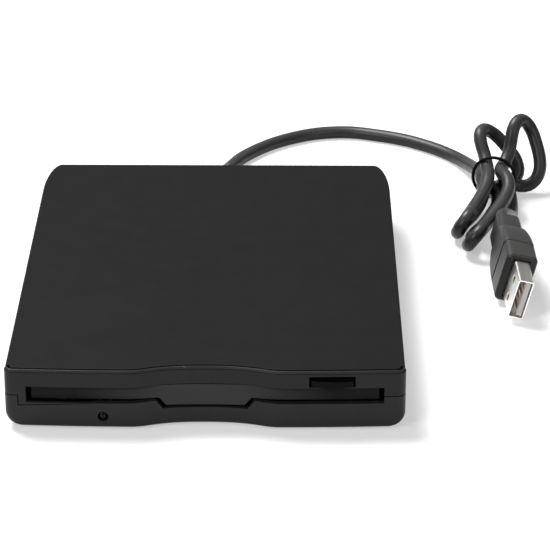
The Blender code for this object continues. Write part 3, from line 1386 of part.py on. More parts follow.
def spindle_motor(materials):
    middle = (0.0, SPINDLE_Y)
    bearing_span = (CHASSIS_BOTTOM, BEARING_TOP)
    bearing = rod("Z", middle, BEARING_RADIUS, bearing_span)
    bearing_bore = rod("Z", middle, SHAFT_RADIUS + RUNNING_GAP, past(bearing_span))
    assemble("spindle_bearing", materials["bronze"], bearing, (CUT, bearing_bore))

    outline = []
    pitch = 2 * math.pi / STATOR_TEETH
    for tooth in range(STATOR_TEETH):
        start = tooth * pitch
        half = pitch * STATOR_TOOTH_SHARE / 2
        for radius, angle in (
            (STATOR_YOKE_RADIUS, start - half),
            (STATOR_RADIUS, start - half / 2),
            (STATOR_RADIUS, start + half / 2),
            (STATOR_YOKE_RADIUS, start + half),
        ):
            outline.append((radius * math.cos(angle), SPINDLE_Y + radius * math.sin(angle)))
    on_board = BOARD_TOP + GAP
    stator_span = (on_board, on_board + STATOR_THICKNESS)
    stator = prism("Z", outline, stator_span)
    stator_bore = rod("Z", middle, STATOR_INNER_RADIUS, past(stator_span))
    assemble("motor_stator", materials["copper"], stator, (CUT, stator_bore))

    cup = rod("Z", middle, ROTOR_RADIUS, (on_board, ROTOR_DISC_TOP), ROTOR_SIDES)
    hollow_span = (on_board - OVERRUN, ROTOR_DISC_BOTTOM)
    hollow = rod("Z", middle, ROTOR_RADIUS - ROTOR_RIM, hollow_span, ROTOR_SIDES)
    shaft = rod("Z", middle, SHAFT_RADIUS, (SHAFT_BOTTOM, SHAFT_TOP))
    hub = rod("Z", middle, HUB_RADIUS, (ROTOR_DISC_BOTTOM + GAP, HUB_TOP), ROTOR_SIDES)
    pin_at = (DRIVE_PIN_ORBIT, SPINDLE_Y)
    pin_span = past((ROTOR_DISC_BOTTOM, HUB_TOP))
    pin_hole = rod("Z", pin_at, DRIVE_PIN_RADIUS + GAP, pin_span, SMALL_SIDES)
    assemble(
        "spindle_rotor",
        materials["bright_steel"],
        cup,
        (CUT, hollow),
        (ADD, hub),
        (ADD, shaft),
        (CUT, pin_hole),
        origin=(0.0, SPINDLE_Y, on_board),
    )
    pin = rod("Z", pin_at, DRIVE_PIN_RADIUS, (DRIVE_PIN_BOTTOM, SHAFT_TOP), SMALL_SIDES)
    assemble("drive_pin", materials["bronze"], pin, origin=(0.0, SPINDLE_Y, DRIVE_PIN_BOTTOM))


def head_drive(materials):
    rod_span = (BRACKET_FRONT - GAP, ROD_REAR_BRACKET + CHASSIS_STEEL + GAP)
    guide = rod("Y", (ROD_X, ROD_Z), ROD_RADIUS, rod_span, SMALL_SIDES)
    assemble("guide_rod", materials["bright_steel"], guide)

    bush_span = (BRACKET_FRONT - GAP, BRACKET_FRONT + CHASSIS_STEEL + GAP)
    screw_at = (SCREW_X, SCREW_Z)
    journal_hole = JOURNAL_RADIUS + RUNNING_GAP
    bush_bore = rod("Y", screw_at, journal_hole, past(bush_span), SMALL_SIDES)
    bush = rod("Y", screw_at, BUSH_RADIUS, bush_span, SMALL_SIDES)
    assemble("screw_bush", materials["bronze"], bush, (CUT, bush_bore))

    body_front = MOTOR_BRACKET_Y + CHASSIS_STEEL + GAP
    body = rod("Y", screw_at, STEPPER_RADIUS, (body_front, body_front + STEPPER_LENGTH))
    bore_radius = SCREW_RADIUS + SCREW_OFFSET + GAP
    bore_span = (body_front - OVERRUN, body_front + STEPPER_BORE_DEPTH)
    bore = rod("Y", screw_at, bore_radius, bore_span, SMALL_SIDES)
    assemble("stepper_motor", materials["bright_steel"], body, (CUT, bore))

    thread_front = bush_span[1] + GAP
    thread_rear = body_front + STEPPER_BORE_DEPTH - GAP
    count = int(round((thread_rear - thread_front) / SCREW_LEAD * SCREW_STEPS_PER_TURN))
    rings = []
    for y in (BRACKET_FRONT, thread_front - GAP / 2):
        ring = circle(screw_at, JOURNAL_RADIUS, SCREW_SIDES)
        rings.append([(a, y, b) for a, b in ring])
    for step in range(count + 1):
        y = thread_front + (thread_rear - thread_front) * step / count
        angle = 2 * math.pi * step / SCREW_STEPS_PER_TURN
        x = SCREW_X + SCREW_OFFSET * math.cos(angle)
        z = SCREW_Z + SCREW_OFFSET * math.sin(angle)
        ring = circle((x, z), SCREW_RADIUS, SCREW_SIDES)
        rings.append([(a, y, b) for a, b in ring])
    screw_origin = (SCREW_X, thread_front, SCREW_Z)
    assemble("lead_screw", materials["bright_steel"], loft(rings), origin=screw_origin)


def head_carriage(materials):
    rear = CARRIAGE_REAR
    across = (ROD_X - CARRIAGE_SIDE, SCREW_X + CARRIAGE_SIDE + FOLLOWER_HALF_WIDTH)
    body = block(across, (CARRIAGE_FRONT, rear), (CARRIAGE_BOTTOM, CARRIAGE_TOP))
    arm = block(
        around(0.0, ARM_HALF_WIDTH),
        (ARM_FRONT, CARRIAGE_FRONT + CARRIAGE_LENGTH / 2),
        (CARRIAGE_BOTTOM, CARRIAGE_BOTTOM + LOWER_ARM_THICKNESS),
    )
    ear_outer = ARM_HALF_WIDTH + GAP + ARM_EAR_WIDTH
    post_height = (CARRIAGE_TOP - LOWER_ARM_THICKNESS, ARM_EAR_TOP)
    post = block(around(0.0, ear_outer), (CARRIAGE_FRONT, rear), post_height)
    drilled = past((CARRIAGE_FRONT, rear))
    saddle_height = (ARM_POST_TOP, ARM_EAR_TOP + OVERRUN)
    saddle = block(around(0.0, ARM_HALF_WIDTH + GAP), drilled, saddle_height)
    rod_hole = rod("Y", (ROD_X, ROD_Z), ROD_RADIUS + RUNNING_GAP, drilled, SMALL_SIDES)
    reach = SCREW_RADIUS + SCREW_OFFSET + GAP
    screw_gap = block(around(SCREW_X, reach), drilled, (SCREW_Z - reach, CARRIAGE_TOP + OVERRUN))
    pin_y = CARRIAGE_FRONT + CARRIAGE_LENGTH / 2
    pin_at = (pin_y, ARM_AXIS_Z)
    pin_bore = ARM_PIN_RADIUS + RUNNING_GAP
    pin_hole = rod("X", pin_at, pin_bore, around(0.0, ear_outer + OVERRUN), SMALL_SIDES)
    carriage_origin = (0.0, pin_y, CARRIAGE_BOTTOM)
    assemble(
        "head_carriage",
        materials["resin"],
        body,
        (ADD, arm),
        (ADD, post),
        (CUT, saddle),
        (CUT, group(rod_hole, screw_gap)),
        (CUT, pin_hole),
        origin=carriage_origin,
    )
    pin = rod("X", pin_at, ARM_PIN_RADIUS, around(0.0, ear_outer), SMALL_SIDES)
    assemble("arm_pin", materials["bright_steel"], pin, origin=carriage_origin)

    arm_rear = pin_y + CARRIAGE_LENGTH / 2 - GAP
    arm_across = around(0.0, ARM_HALF_WIDTH)
    upper = block(arm_across, (ARM_FRONT, arm_rear), (UPPER_ARM_BOTTOM, UPPER_ARM_TOP))
    knuckle_span = (CARRIAGE_FRONT + GAP, arm_rear)
    knuckle = block(arm_across, knuckle_span, (ARM_BLOCK_BOTTOM, UPPER_ARM_TOP))
    arm_hole = rod("X", pin_at, pin_bore, past(arm_across), SMALL_SIDES)
    arm_origin = (0.0, pin_y, ARM_AXIS_Z)
    assemble(
        "upper_head_arm",
        materials["resin"],
        upper,
        (ADD, knuckle),
        (CUT, arm_hole),
        origin=arm_origin,
    )

    head_xy = (around(0.0, HEAD_HALF_WIDTH), around(HEAD_Y, HEAD_HALF_LENGTH))
    lower_bottom = CARRIAGE_BOTTOM + LOWER_ARM_THICKNESS + GAP
    lower = block(*head_xy, (lower_bottom, lower_bottom + LOWER_HEAD_HEIGHT))
    assemble("lower_head", materials["ceramic"], lower, origin=carriage_origin)
    head = block(*head_xy, (UPPER_HEAD_BOTTOM, UPPER_HEAD_TOP))
    assemble("upper_head", materials["ceramic"], head, origin=arm_origin)

    follower_top = CARRIAGE_TOP - GAP
    follower_x = SCREW_X + CARRIAGE_SIDE + FOLLOWER_HALF_WIDTH + GAP
    across = (follower_x, follower_x + FOLLOWER_THICKNESS)
    finger_top = CARRIAGE_TOP + GAP + FOLLOWER_THICKNESS
    finger_y = around(pin_y, FOLLOWER_HALF_WIDTH / 2)
    follower = block(across, (CARRIAGE_FRONT, rear), (CARRIAGE_BOTTOM, follower_top))
    rise = block(across, finger_y, (follower_top - FOLLOWER_THICKNESS, finger_top))
    finger_x = (SCREW_X + reach - GAP, follower_x + FOLLOWER_THICKNESS / 2)
    finger = block(finger_x, finger_y, (CARRIAGE_TOP + GAP, finger_top))
    assemble(
        "screw_follower",
        materials["spring"],
        follower,
        (ADD, rise),
        (ADD, finger),
        origin=carriage_origin,
    )


# Boards, sensors and indicator


def main_board(materials):
    """The board under the mechanism: wide round the spindle, narrow beside the head carriage."""
    levels = (BOARD_BOTTOM, BOARD_TOP)
    through = past(levels)
    outline = [
        (MAIN_BOARD_LEFT, MAIN_BOARD_FRONT),
        (MAIN_BOARD_RIGHT, MAIN_BOARD_FRONT),
        (MAIN_BOARD_RIGHT, MAIN_BOARD_STEP_Y),
        (MAIN_BOARD_STEP_X, MAIN_BOARD_STEP_Y),
        (MAIN_BOARD_STEP_X, MAIN_BOARD_REAR),
        (MAIN_BOARD_LEFT, MAIN_BOARD_REAR),
    ]
    bearing_hole = rod("Z", (0.0, SPINDLE_Y), BEARING_RADIUS + GAP, through)
    post_hole = rod("Z", LEVER_POST, LEVER_POST_RADIUS + GAP, through, SMALL_SIDES)
    tab_slot = block(
        around(-SPRING_X, SPRING_TAB_HALF_WIDTH + GAP),
        (SPRING_TAB_Y - GAP, SPRING_TAB_Y + CHASSIS_STEEL + GAP),
        through,
    )
    holes = group(bearing_hole, post_hole, tab_slot)
    assemble("main_board", materials["board"], prism("Z", outline, levels), (CUT, holes))
    on_board = BOARD_TOP + GAP
    chip_x = around(CHIP_AT[0], CHIP_SIZE / 2)
    chip_y = around(CHIP_AT[1], CHIP_SIZE / 2)
    chip = block(chip_x, chip_y, (on_board, on_board + CHIP_HEIGHT))
    assemble("controller_chip", materials["black_plastic"], chip)
    socket = block(SOCKET_AT_X, SOCKET_BOARD_Y, (on_board, on_board + BOARD_SOCKET_HEIGHT))
    assemble("drive_socket", materials["ivory_plastic"], socket)


def sensors(materials):
    across = around(0.0, SENSOR_BOARD_HALF_WIDTH)
    length = (SENSOR_BOARD_FRONT, SENSOR_BOARD_REAR)
    board = block(across, length, (BOARD_BOTTOM, BOARD_TOP))
    assemble("sensor_board", materials["board"], board)
    bottom = BOARD_TOP + GAP
    top = bottom + SWITCH_HEIGHT
    plunger_bottom = PLUNGER_TOP - PLUNGER_LENGTH
    for side, name in ((-1, "protect"), (1, "media")):
        middle = (side * SWITCH_X, SWITCH_Y)
        sides = [around(value, SWITCH_HALF_SIZE) for value in middle]
        body = block(*sides, (bottom, top))
        drilled = (plunger_bottom - PLUNGER_TRAVEL - GAP / 2, top + OVERRUN)
        bore = rod("Z", middle, PLUNGER_RADIUS + GAP, drilled, SMALL_SIDES)
        assemble(name + "_switch", materials["black_plastic"], body, (CUT, bore))
        plunger = rod("Z", middle, PLUNGER_RADIUS, (plunger_bottom, PLUNGER_TOP), SMALL_SIDES)
        plunger_origin = (*middle, plunger_bottom)
        assemble(name + "_plunger", materials["resin"], plunger, origin=plunger_origin)


def bridge_board(materials):
    top = BRIDGE_BOARD_BOTTOM + BOARD_THICKNESS
    on_board = top + GAP
    middle = sum(BRIDGE_BOARD_Y) / 2
    board = block(BRIDGE_BOARD_X, BRIDGE_BOARD_Y, (BRIDGE_BOARD_BOTTOM, top))
    assemble("bridge_board", materials["board"], board)
    half = BRIDGE_CHIP_SIZE / 2
    chip_height = (on_board, on_board + BRIDGE_CHIP_HEIGHT)
    chip = block(around(BRIDGE_CHIP_X, half), around(middle, half), chip_height)
    assemble("bridge_chip", materials["black_plastic"], chip)
    header = block(HEADER_X, around(middle, HEADER_WIDTH / 2), (on_board, on_board + HEADER_HEIGHT))
    assemble("cord_header", materials["ivory_plastic"], header)


def ribbon_cable(materials):
    """A short film from the main board's socket, over the chassis, to the bridge board."""
    start_y = SOCKET_BOARD_Y[1] + GAP
    end_y = BRIDGE_BOARD_Y[0] + RIBBON_LANDING
    start_z = BOARD_TOP + GAP + BOARD_SOCKET_HEIGHT / 2
    end_z = BRIDGE_BOARD_BOTTOM + BOARD_THICKNESS + GAP
    lower = []
    for step in range(RIBBON_STEPS + 1):
        share = step / RIBBON_STEPS
        y = start_y + (end_y - start_y) * share
        arch = RIBBON_ARCH * math.sin(math.pi * share)
        lower.append((y, start_z + (end_z - start_z) * share + arch))
    lower.append((end_y + RIBBON_LANDING, end_z))
    upper = [(y, z + RIBBON_THICKNESS) for y, z in reversed(lower)]
    assemble("ribbon_cable", materials["ribbon"], prism("X", lower + upper, RIBBON_X))


def indicator(materials):
    led_y = (LED_BACK - LED_SIZE[1], LED_BACK)
    led = block(around(LED_X, LED_SIZE[0] / 2), led_y, around(LED_Z, LED_SIZE[2] / 2))
    assemble("indicator_led", materials["ivory_plastic"], led)
    lens_front = front_at(LED_X) + LED_LENS_SETBACK
    profile = (
        (LED_LENS_RADIUS / 4, lens_front),
        (LED_LENS_RADIUS * LED_DOME_SHARE, lens_front + LED_LENS_DOME / 3),
        (LED_LENS_RADIUS, lens_front + LED_LENS_DOME),
        (LED_LENS_RADIUS, led_y[0] - GAP),
    )
    lens = turned("Y", (LED_X, LED_Z), profile, SMALL_SIDES)
    assemble("indicator_lens", materials["lens"], lens)


# Screws, feet and gland


def screws(materials, name, places, sink, head, shank, tip):
    head_top = CASE_BOTTOM + sink - GAP
    profile = (
        (SCREW_HEAD_RADIUS, head_top - head),
        (SCREW_HEAD_RADIUS, head_top),
        (shank, head_top),
        (shank, tip),
    )
    for number, place_at in enumerate(screw_places(places), 1):
        screw = turned("Z", place_at, profile, SMALL_SIDES)
        assemble(f"{name}_{number}", materials["bright_steel"], screw)


def feet(materials):
    top = CASE_BOTTOM + FOOT_SEAT_DEPTH - GAP
    for number, place_at in enumerate(screw_places(FOOT_PLACES), 1):
        foot = rod("Z", place_at, FOOT_RADIUS, (0.0, top))
        assemble(f"foot_{number}", materials["rubber"], foot)


def gland_faces():
    """Places along Y of the strain relief: inner face, wall, outer collar and tip."""
    inner = REAR_Y - CASE_WALL - GAP - GLAND_FLANGE
    collar = REAR_Y + GAP
    return inner, inner + GLAND_FLANGE, collar, collar + GLAND_FLANGE, REAR_Y + GLAND_LENGTH


def strain_relief(materials):
    inner, wall, collar, sleeve, tip = gland_faces()
    profile = (
        (GLAND_FLANGE_RADIUS, inner),
        (GLAND_FLANGE_RADIUS, wall),
        (GLAND_NECK_RADIUS, wall),
        (GLAND_NECK_RADIUS, collar),
        (GLAND_FLANGE_RADIUS, collar),
        (GLAND_FLANGE_RADIUS, sleeve),
        (GLAND_NECK_RADIUS, sleeve),
        (GLAND_TIP_RADIUS, tip),
    )
    assemble("strain_relief", materials["cord"], turned("Y", (0.0, CORD_Z), profile))


def cord_core(materials):
    """The stripped end of the cord, from the strain relief round to its header."""
    inner = gland_faces()[0] - GAP
    header_y = sum(BRIDGE_BOARD_Y) / 2
    line = [(0.0, inner, CORD_Z)]
    for step in range(CORE_BEND_STEPS + 1):
        angle = math.pi / 2 * step / CORE_BEND_STEPS
        x = CORE_BEND * (1 - math.cos(angle))
        y = header_y + CORE_BEND * (1 - math.sin(angle))
        line.append((x, y, CORD_Z))
    line.append((HEADER_X[0] - GAP, header_y, CORD_Z))
    tube("cord_core", materials["wire"], [line], CORE_RADIUS, 1)


# Cord


def smooth_route(points, step):
    """Points at even steps along a smooth curve through the route's own points."""
    route = [Vector(point) for point in points]
    padded = [2 * route[0] - route[1], *route, 2 * route[-1] - route[-2]]
    dense = []
    for before, start, end, after in zip(padded, padded[1:], padded[2:], padded[3:]):
        for share in np.linspace(0, 1, ROUTE_SAMPLES, endpoint=False):
            t = float(share)
            bend = 2 * before - 5 * start + 4 * end - after
            curl = 3 * start - before - 3 * end + after
            dense.append((2 * start + (end - before) * t + bend * t**2 + curl * t**3) / 2)
    dense.append(route[-1])
    line = np.array(dense)
    lengths = travelled(line)
    count = max(2, int(round(lengths[-1] / step)) + 1)
    even = np.linspace(0, lengths[-1], count)
    return np.stack([np.interp(even, lengths, line[:, axis]) for axis in range(3)], axis=1)


def travelled(line):
    """How far along a line each of its points lies."""
    return np.concatenate(([0.0], np.cumsum(np.linalg.norm(np.diff(line, axis=0), axis=1))))


def heading(start, end):
    """The way from one point to another, one metre long."""
    return (end - start) / np.linalg.norm(end - start)


def report_least_gap(line, radius):
    """Print the least gap of a tube to itself, between points well apart along it."""
    fine = smooth_route(line, radius / 3)
    lengths = travelled(fine)
    apart = np.abs(lengths[:, None] - lengths[None, :]) > APART_RADII * radius
    distance = np.linalg.norm(fine[:, None, :] - fine[None, :, :], axis=2)
    least = distance[apart].min() - 2 * radius
    print("least gap of the hank to itself in mm:", round(least * 1000, 2))
    print("length of the hank in mm:", round(lengths[-1] * 1000))


def cord_and_hank(materials):
    line = smooth_route(HANK_POINTS, HANK_STEP)
    report_least_gap(line, CORD_RADIUS)
    tube("cord_hank", materials["cord"], [line], CORD_RADIUS, 1)

    entering = heading(line[0], line[1])
    end = line[0] - GAP * entering
    exit_y = gland_faces()[-1] + GAP
    start = np.array((0.0, exit_y, CORD_Z))
    route = [start, start + np.array((0.0, CORD_STRAIGHT, 0.0))]
    route += [np.array(point) for point in RUN_POINTS]
    route += [end - CORD_STRAIGHT * entering, end]
    run = smooth_route(route, CORD_STEP)
    run = np.vstack([run[0], route[1], run[2:-2], route[-2], run[-1]])
    tube("cord_run", materials["cord"], [run], CORD_RADIUS)

    leaving = heading(line[-2], line[-1])
    start = line[-1] + GAP * leaving
    frame = plug_frame()
    turn = frame.to_3x3()
    ahead = np.array(turn @ Vector((0.0, -1.0, 0.0)))
    sleeve_end = SHELL_EXPOSED + GRIP_LENGTH + GRIP_SLEEVE_LENGTH
    end = np.array(frame @ Vector((0.0, sleeve_end + GAP, 0.0)))
    route = [start, start + CORD_RADIUS * leaving, *[np.array(point) for point in TAIL_POINTS]]
    route += [end - CORD_STRAIGHT * ahead, end]
    tail = smooth_route(route, CORD_STEP)
    tail = np.vstack([tail[0], route[1], tail[1:-2], route[-2], tail[-1]])
    tube("cord_tail", materials["cord"], [tail], CORD_RADIUS)
    lengths = [round(travelled(part)[-1] * 1000) for part in (run, tail)]
    print("length of the run and the tail in mm:", lengths)


def hank_tie(materials):
    """A wire ring round the five strands at the waist."""
    radius = WAIST_RADIUS + CORD_RADIUS + GAP + TIE_WIRE_RADIUS
    right = Vector((math.cos(TIE_TURN), math.sin(TIE_TURN), 0.0))
    ahead = Vector((math.sin(TIE_TURN), -math.cos(TIE_TURN), 0.0))
    ring = bmesh.new()
    loops = []
    for step in range(TIE_STEPS):
        angle = 2 * math.pi * step / TIE_STEPS
        out = math.cos(angle) * right + math.sin(angle) * Vector((0.0, 0.0, 1.0))
        loop = []
        for side in range(TIE_SIDES):
            turn = 2 * math.pi * side / TIE_SIDES
            away = (radius + TIE_WIRE_RADIUS * math.cos(turn)) * out
            along = TIE_WIRE_RADIUS * math.sin(turn) * ahead
            loop.append(ring.verts.new(Vector(TIE_AT) + away + along))
        loops.append(loop)
    for step in range(TIE_STEPS):
        here, after = loops[step], loops[(step + 1) % TIE_STEPS]
        for side in range(TIE_SIDES):
            next_side = (side + 1) % TIE_SIDES
            ring.faces.new((here[side], here[next_side], after[next_side], after[side]))
    bmesh.ops.recalc_face_normals(ring, faces=ring.faces)
    assemble("cord_tie", materials["tie"], ring)


# Plug, made in its own frame: the opening at its origin, +Y towards the cord, Z across its width


def plug_frame():
    """The plug lies on the edge of its grip, its nose dipped and its top leaning to +X."""
    inner_width = GRIP_WIDTH / 2 - GRIP_ROUND
    inner_height = GRIP_HEIGHT / 2 - GRIP_ROUND
    below = inner_width * math.cos(PLUG_ROLL) + inner_height * math.sin(PLUG_ROLL) + GRIP_ROUND
    lift = below * math.cos(PLUG_DIP) - SHELL_EXPOSED * math.sin(PLUG_DIP) + PLUG_REST
    turn = Matrix.Rotation(PLUG_TURN, 4, "Z") @ Matrix.Rotation(PLUG_DIP, 4, "X")
    turn = turn @ Matrix.Rotation(PLUG_ROLL, 4, "Y")
    return Matrix.Translation((PLUG_X, PLUG_Y, lift)) @ turn


def rounded_section(y, half_height, half_width, corner):
    """A rounded rectangle across the plug: its height along X, its width along Z."""
    points = []
    for quarter, (a, b) in enumerate(((1, 1), (-1, 1), (-1, -1), (1, -1))):
        middle = (a * (half_height - corner), b * (half_width - corner))
        for step in range(GRIP_CORNER_STEPS + 1):
            angle = math.pi / 2 * (quarter + step / GRIP_CORNER_STEPS)
            x = middle[0] + corner * math.cos(angle)
            z = middle[1] + corner * math.sin(angle)
            points.append((x, y, z))
    return points


def usb_plug(materials):
    nodes = [plug_grip(materials), plug_shell(materials), plug_tongue(materials)]
    holder = bpy.data.objects.new("plug_holder", None)
    bpy.context.scene.collection.objects.link(holder)
    holder.matrix_world = plug_frame()
    for node in nodes:
        node.parent = holder


def plug_grip(materials):
    sections = []
    for along, width, height in GRIP_SHARES:
        y = SHELL_EXPOSED + along * GRIP_LENGTH
        corner = GRIP_ROUND * height
        sections.append(rounded_section(y, GRIP_HEIGHT / 2 * height, GRIP_WIDTH / 2 * width, corner))
    rear = SHELL_EXPOSED + GRIP_LENGTH
    sleeve = turned(
        "Y",
        (0.0, 0.0),
        ((GRIP_SLEEVE_RADIUS, rear - GRIP_POCKET), (GRIP_SLEEVE_TIP, rear + GRIP_SLEEVE_LENGTH)),
    )
    pocket = block(
        around(0.0, SHELL_HEIGHT / 2 + GRIP_POCKET_GAP),
        (SHELL_EXPOSED - OVERRUN, SHELL_EXPOSED + GRIP_POCKET),
        around(0.0, SHELL_WIDTH / 2 + GRIP_POCKET_GAP),
    )
    return assemble("plug_grip", materials["cord"], loft(sections), (ADD, sleeve), (CUT, pocket))


def plug_shell(materials):
    length = SHELL_EXPOSED + SHELL_SEATED
    outside = block(around(0.0, SHELL_HEIGHT / 2), (0.0, length), around(0.0, SHELL_WIDTH / 2))
    inside = block(
        around(0.0, SHELL_HEIGHT / 2 - SHELL_SHEET),
        (-OVERRUN, length + OVERRUN),
        around(0.0, SHELL_WIDTH / 2 - SHELL_SHEET),
    )
    holes = []
    for side in (-1, 1):
        holes.append(
            block(
                around(0.0, SHELL_HEIGHT),
                (SHELL_HOLE_FRONT, SHELL_HOLE_FRONT + SHELL_HOLE_LENGTH),
                around(side * SHELL_HOLE_OUT, SHELL_HOLE_WIDTH / 2),
            )
        )
    return assemble("plug_shell", materials["shell"], outside, (CUT, inside), (CUT, group(*holes)))


def plug_tongue(materials):
    """The insulator against one wall of the shell, with four raised contacts on its inner face."""
    outer = SHELL_HEIGHT / 2 - SHELL_SHEET - GAP
    inner = outer - TONGUE_THICKNESS
    length = SHELL_EXPOSED + SHELL_SEATED - GAP
    half_width = SHELL_WIDTH / 2 - SHELL_SHEET - TONGUE_SIDE_GAP
    insulator = block((inner, outer), (TONGUE_SETBACK, length), around(0.0, half_width))
    contacts = []
    for place_at in CONTACT_PLACES:
        contacts.append(
            block(
                (inner - CONTACT_THICKNESS, inner + CONTACT_THICKNESS),
                (TONGUE_SETBACK + CONTACT_SETBACK, TONGUE_SETBACK + CONTACT_SETBACK + CONTACT_LENGTH),
                around(place_at, CONTACT_WIDTH / 2),
            )
        )
    return assemble("plug_tongue", materials["tongue"], insulator, (ADD, group(*contacts)))


def main():
    clear_scene()
    materials = {
        "case": make_material("case_plastic", (0.028, 0.028, 0.029), 0.42),
        "bezel": make_material("bezel_plastic", (0.028, 0.028, 0.029), 0.45),
        "flap": make_material("flap_plastic", (0.02, 0.02, 0.021), 0.5),
        "button": make_material("button_plastic", (0.01, 0.01, 0.012), 0.4),
        "black_plastic": make_material("black_plastic", (0.012, 0.012, 0.012), 0.5),
        "ivory_plastic": make_material("ivory_plastic", (0.7, 0.66, 0.55), 0.5),
        "resin": make_material("grey_resin", (0.1, 0.1, 0.11), 0.5),
        "lens": make_material("indicator_lens", (0.006, 0.006, 0.007), 0.08),
        "rubber": make_material("rubber", (0.015, 0.015, 0.015), 0.8),
        "steel": make_material("galvanised_steel", (0.55, 0.56, 0.57), 0.4, 1.0),
        "bright_steel": make_material("bright_steel", (0.68, 0.68, 0.68), 0.25, 1.0),
        "spring": make_material("spring_steel", (0.6, 0.6, 0.58), 0.3, 1.0),
        "bronze": make_material("sintered_bronze", (0.55, 0.36, 0.18), 0.45, 1.0),
        "copper": make_material("copper_winding", (0.72, 0.32, 0.14), 0.4, 1.0),
        "ceramic": make_material("head_ceramic", (0.75, 0.75, 0.72), 0.3),
        "board": make_material("circuit_board", (0.02, 0.16, 0.07), 0.5),
        "ribbon": make_material("ribbon_film", (0.62, 0.6, 0.55), 0.45),
        "wire": make_material("wire_insulation", (0.4, 0.05, 0.04), 0.5),
        "cord": make_material("cord_jacket", (0.012, 0.012, 0.013), 0.45),
        "tie": make_material("tie_wire", (0.006, 0.006, 0.006), 0.4),
        "shell": make_material("plug_shell", (0.8, 0.8, 0.8), 0.22, 1.0),
        "tongue": make_material("plug_tongue", (0.75, 0.75, 0.74), 0.5),
    }
    top_cover(materials)
    base_case(materials)
    front_bezel(materials)
    slot_flap(materials)
    flap_spring(materials)
    tongue_front = eject_button(materials)
    chassis(materials)
    disk_holder(materials)
    eject_slide(materials, tongue_front)
    slide_springs(materials)
    shutter_lever(materials)
    lever_spring(materials)
    spindle_motor(materials)
    head_drive(materials)
    head_carriage(materials)
    main_board(materials)
    sensors(materials)
    bridge_board(materials)
    ribbon_cable(materials)
    indicator(materials)
    screws(
        materials,
        "case_screw",
        CASE_SCREW_PLACES,
        SCREW_SINK,
        SCREW_HEAD_HEIGHT,
        SCREW_SHANK_RADIUS,
        CASE_SCREW_TOP,
    )
    screws(
        materials,
        "chassis_screw",
        CHASSIS_SCREW_PLACES,
        CHASSIS_SCREW_SINK,
        CHASSIS_SCREW_HEAD,
        CHASSIS_SCREW_SHANK,
        CHASSIS_SCREW_TOP,
    )
    feet(materials)
    strain_relief(materials)
    cord_core(materials)
    cord_and_hank(materials)
    hank_tie(materials)
    usb_plug(materials)


main()
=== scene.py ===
"""Dressed model of an external floppy disk drive and its cord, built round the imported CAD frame.

Metres, +Z up, the slot faces -Y. Pieces are modelled where they stand, in the frame's coordinates;
the plug's pieces are modelled in the plug's own frame and then laid down.
"""

import json
import math

import bmesh
import bpy
import numpy as np
from mathutils import Matrix, Vector


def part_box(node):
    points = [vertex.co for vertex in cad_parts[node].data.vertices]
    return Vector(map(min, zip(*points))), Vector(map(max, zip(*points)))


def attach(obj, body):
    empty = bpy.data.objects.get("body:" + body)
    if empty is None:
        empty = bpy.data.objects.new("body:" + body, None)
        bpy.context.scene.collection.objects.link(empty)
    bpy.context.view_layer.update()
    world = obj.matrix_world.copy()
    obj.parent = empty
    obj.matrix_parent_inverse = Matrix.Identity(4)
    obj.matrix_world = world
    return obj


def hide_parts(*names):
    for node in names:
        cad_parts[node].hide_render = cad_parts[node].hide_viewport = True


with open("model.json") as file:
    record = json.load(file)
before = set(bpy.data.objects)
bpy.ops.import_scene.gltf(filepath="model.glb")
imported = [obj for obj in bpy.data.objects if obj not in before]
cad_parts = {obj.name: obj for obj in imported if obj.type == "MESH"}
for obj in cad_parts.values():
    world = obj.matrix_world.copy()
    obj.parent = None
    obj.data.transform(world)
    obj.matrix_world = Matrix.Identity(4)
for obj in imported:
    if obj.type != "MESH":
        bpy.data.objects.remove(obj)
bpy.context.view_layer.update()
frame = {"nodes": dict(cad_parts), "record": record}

MM = 0.001
GAP = 0.3 * MM
RUNNING_GAP = 0.15 * MM
SEAM_GAP = 0.2 * MM
MERGE_DISTANCE = 0.005 * MM
FLAT_ANGLE = math.radians(0.05)
OVERRUN = 2 * MM
SMOOTH_ANGLE = math.radians(36)
SHARP_ANGLE = math.radians(24)
AXES = {"X": (0, 1, 2), "Y": (1, 0, 2), "Z": (2, 0, 1)}
TURNS = {"X": (0, math.pi / 2, 0), "Y": (math.pi / 2, 0, 0), "Z": (0, 0, 0)}
FACING = 0.99
HAIR_GAP = GAP / 10

# Camera, as solved from the photograph
CAMERA_AT = (20.757 * MM, -691.218 * MM, 326.237 * MM)
CAMERA_YAW = math.radians(-0.2505)
CAMERA_PITCH = math.radians(24.394)
CAMERA_ROLL = math.radians(0.099)
CAMERA_LENS = 176.42
CAMERA_SENSOR = 36
CAMERA_NEAR = 10 * MM

# Case
HALF_WIDTH = 52 * MM
FRONT_Y = -70.5 * MM
REAR_Y = 71.5 * MM
CASE_BOTTOM = 0.8 * MM
CASE_TOP = 17.4 * MM
CEILING_Z = 15.9 * MM
FLOOR_Z = 2.3 * MM
PARTING_Z = 10.0 * MM
CASE_WALL = 1.6 * MM
FRONT_CORNER_RADIUS = 2.3 * MM
FRONT_BOW = 1.0 * MM
REAR_CORNER_ACROSS = 4.2 * MM
REAR_CORNER_ALONG = 19.8 * MM
RECESS_HALF_WIDTH = 17.8 * MM
RECESS_DEPTH = 3.0 * MM
RECESS_POWER = 2.5
RECESS_BLEND_SHARE = 0.88
RECESS_LAST_SHARE = 1.2
RECESS_COLUMNS = 18
BOW_COLUMNS = 8
CORNER_STEPS = 6
REAR_CORNER_STEPS = 12
SIDE_ROUND = 4.0 * MM
END_ROUND = 1.2 * MM
ROUND_LEVELS = 8
DRAFT_FROM_Z = 13.0 * MM
COVER_DRAFT = 0.3 * MM
COVER_EDGE_ROUND = 0.55 * MM
GROOVE_EDGE_ROUND = 0.14 * MM
SEAM_EDGE_ROUND = 0.12 * MM
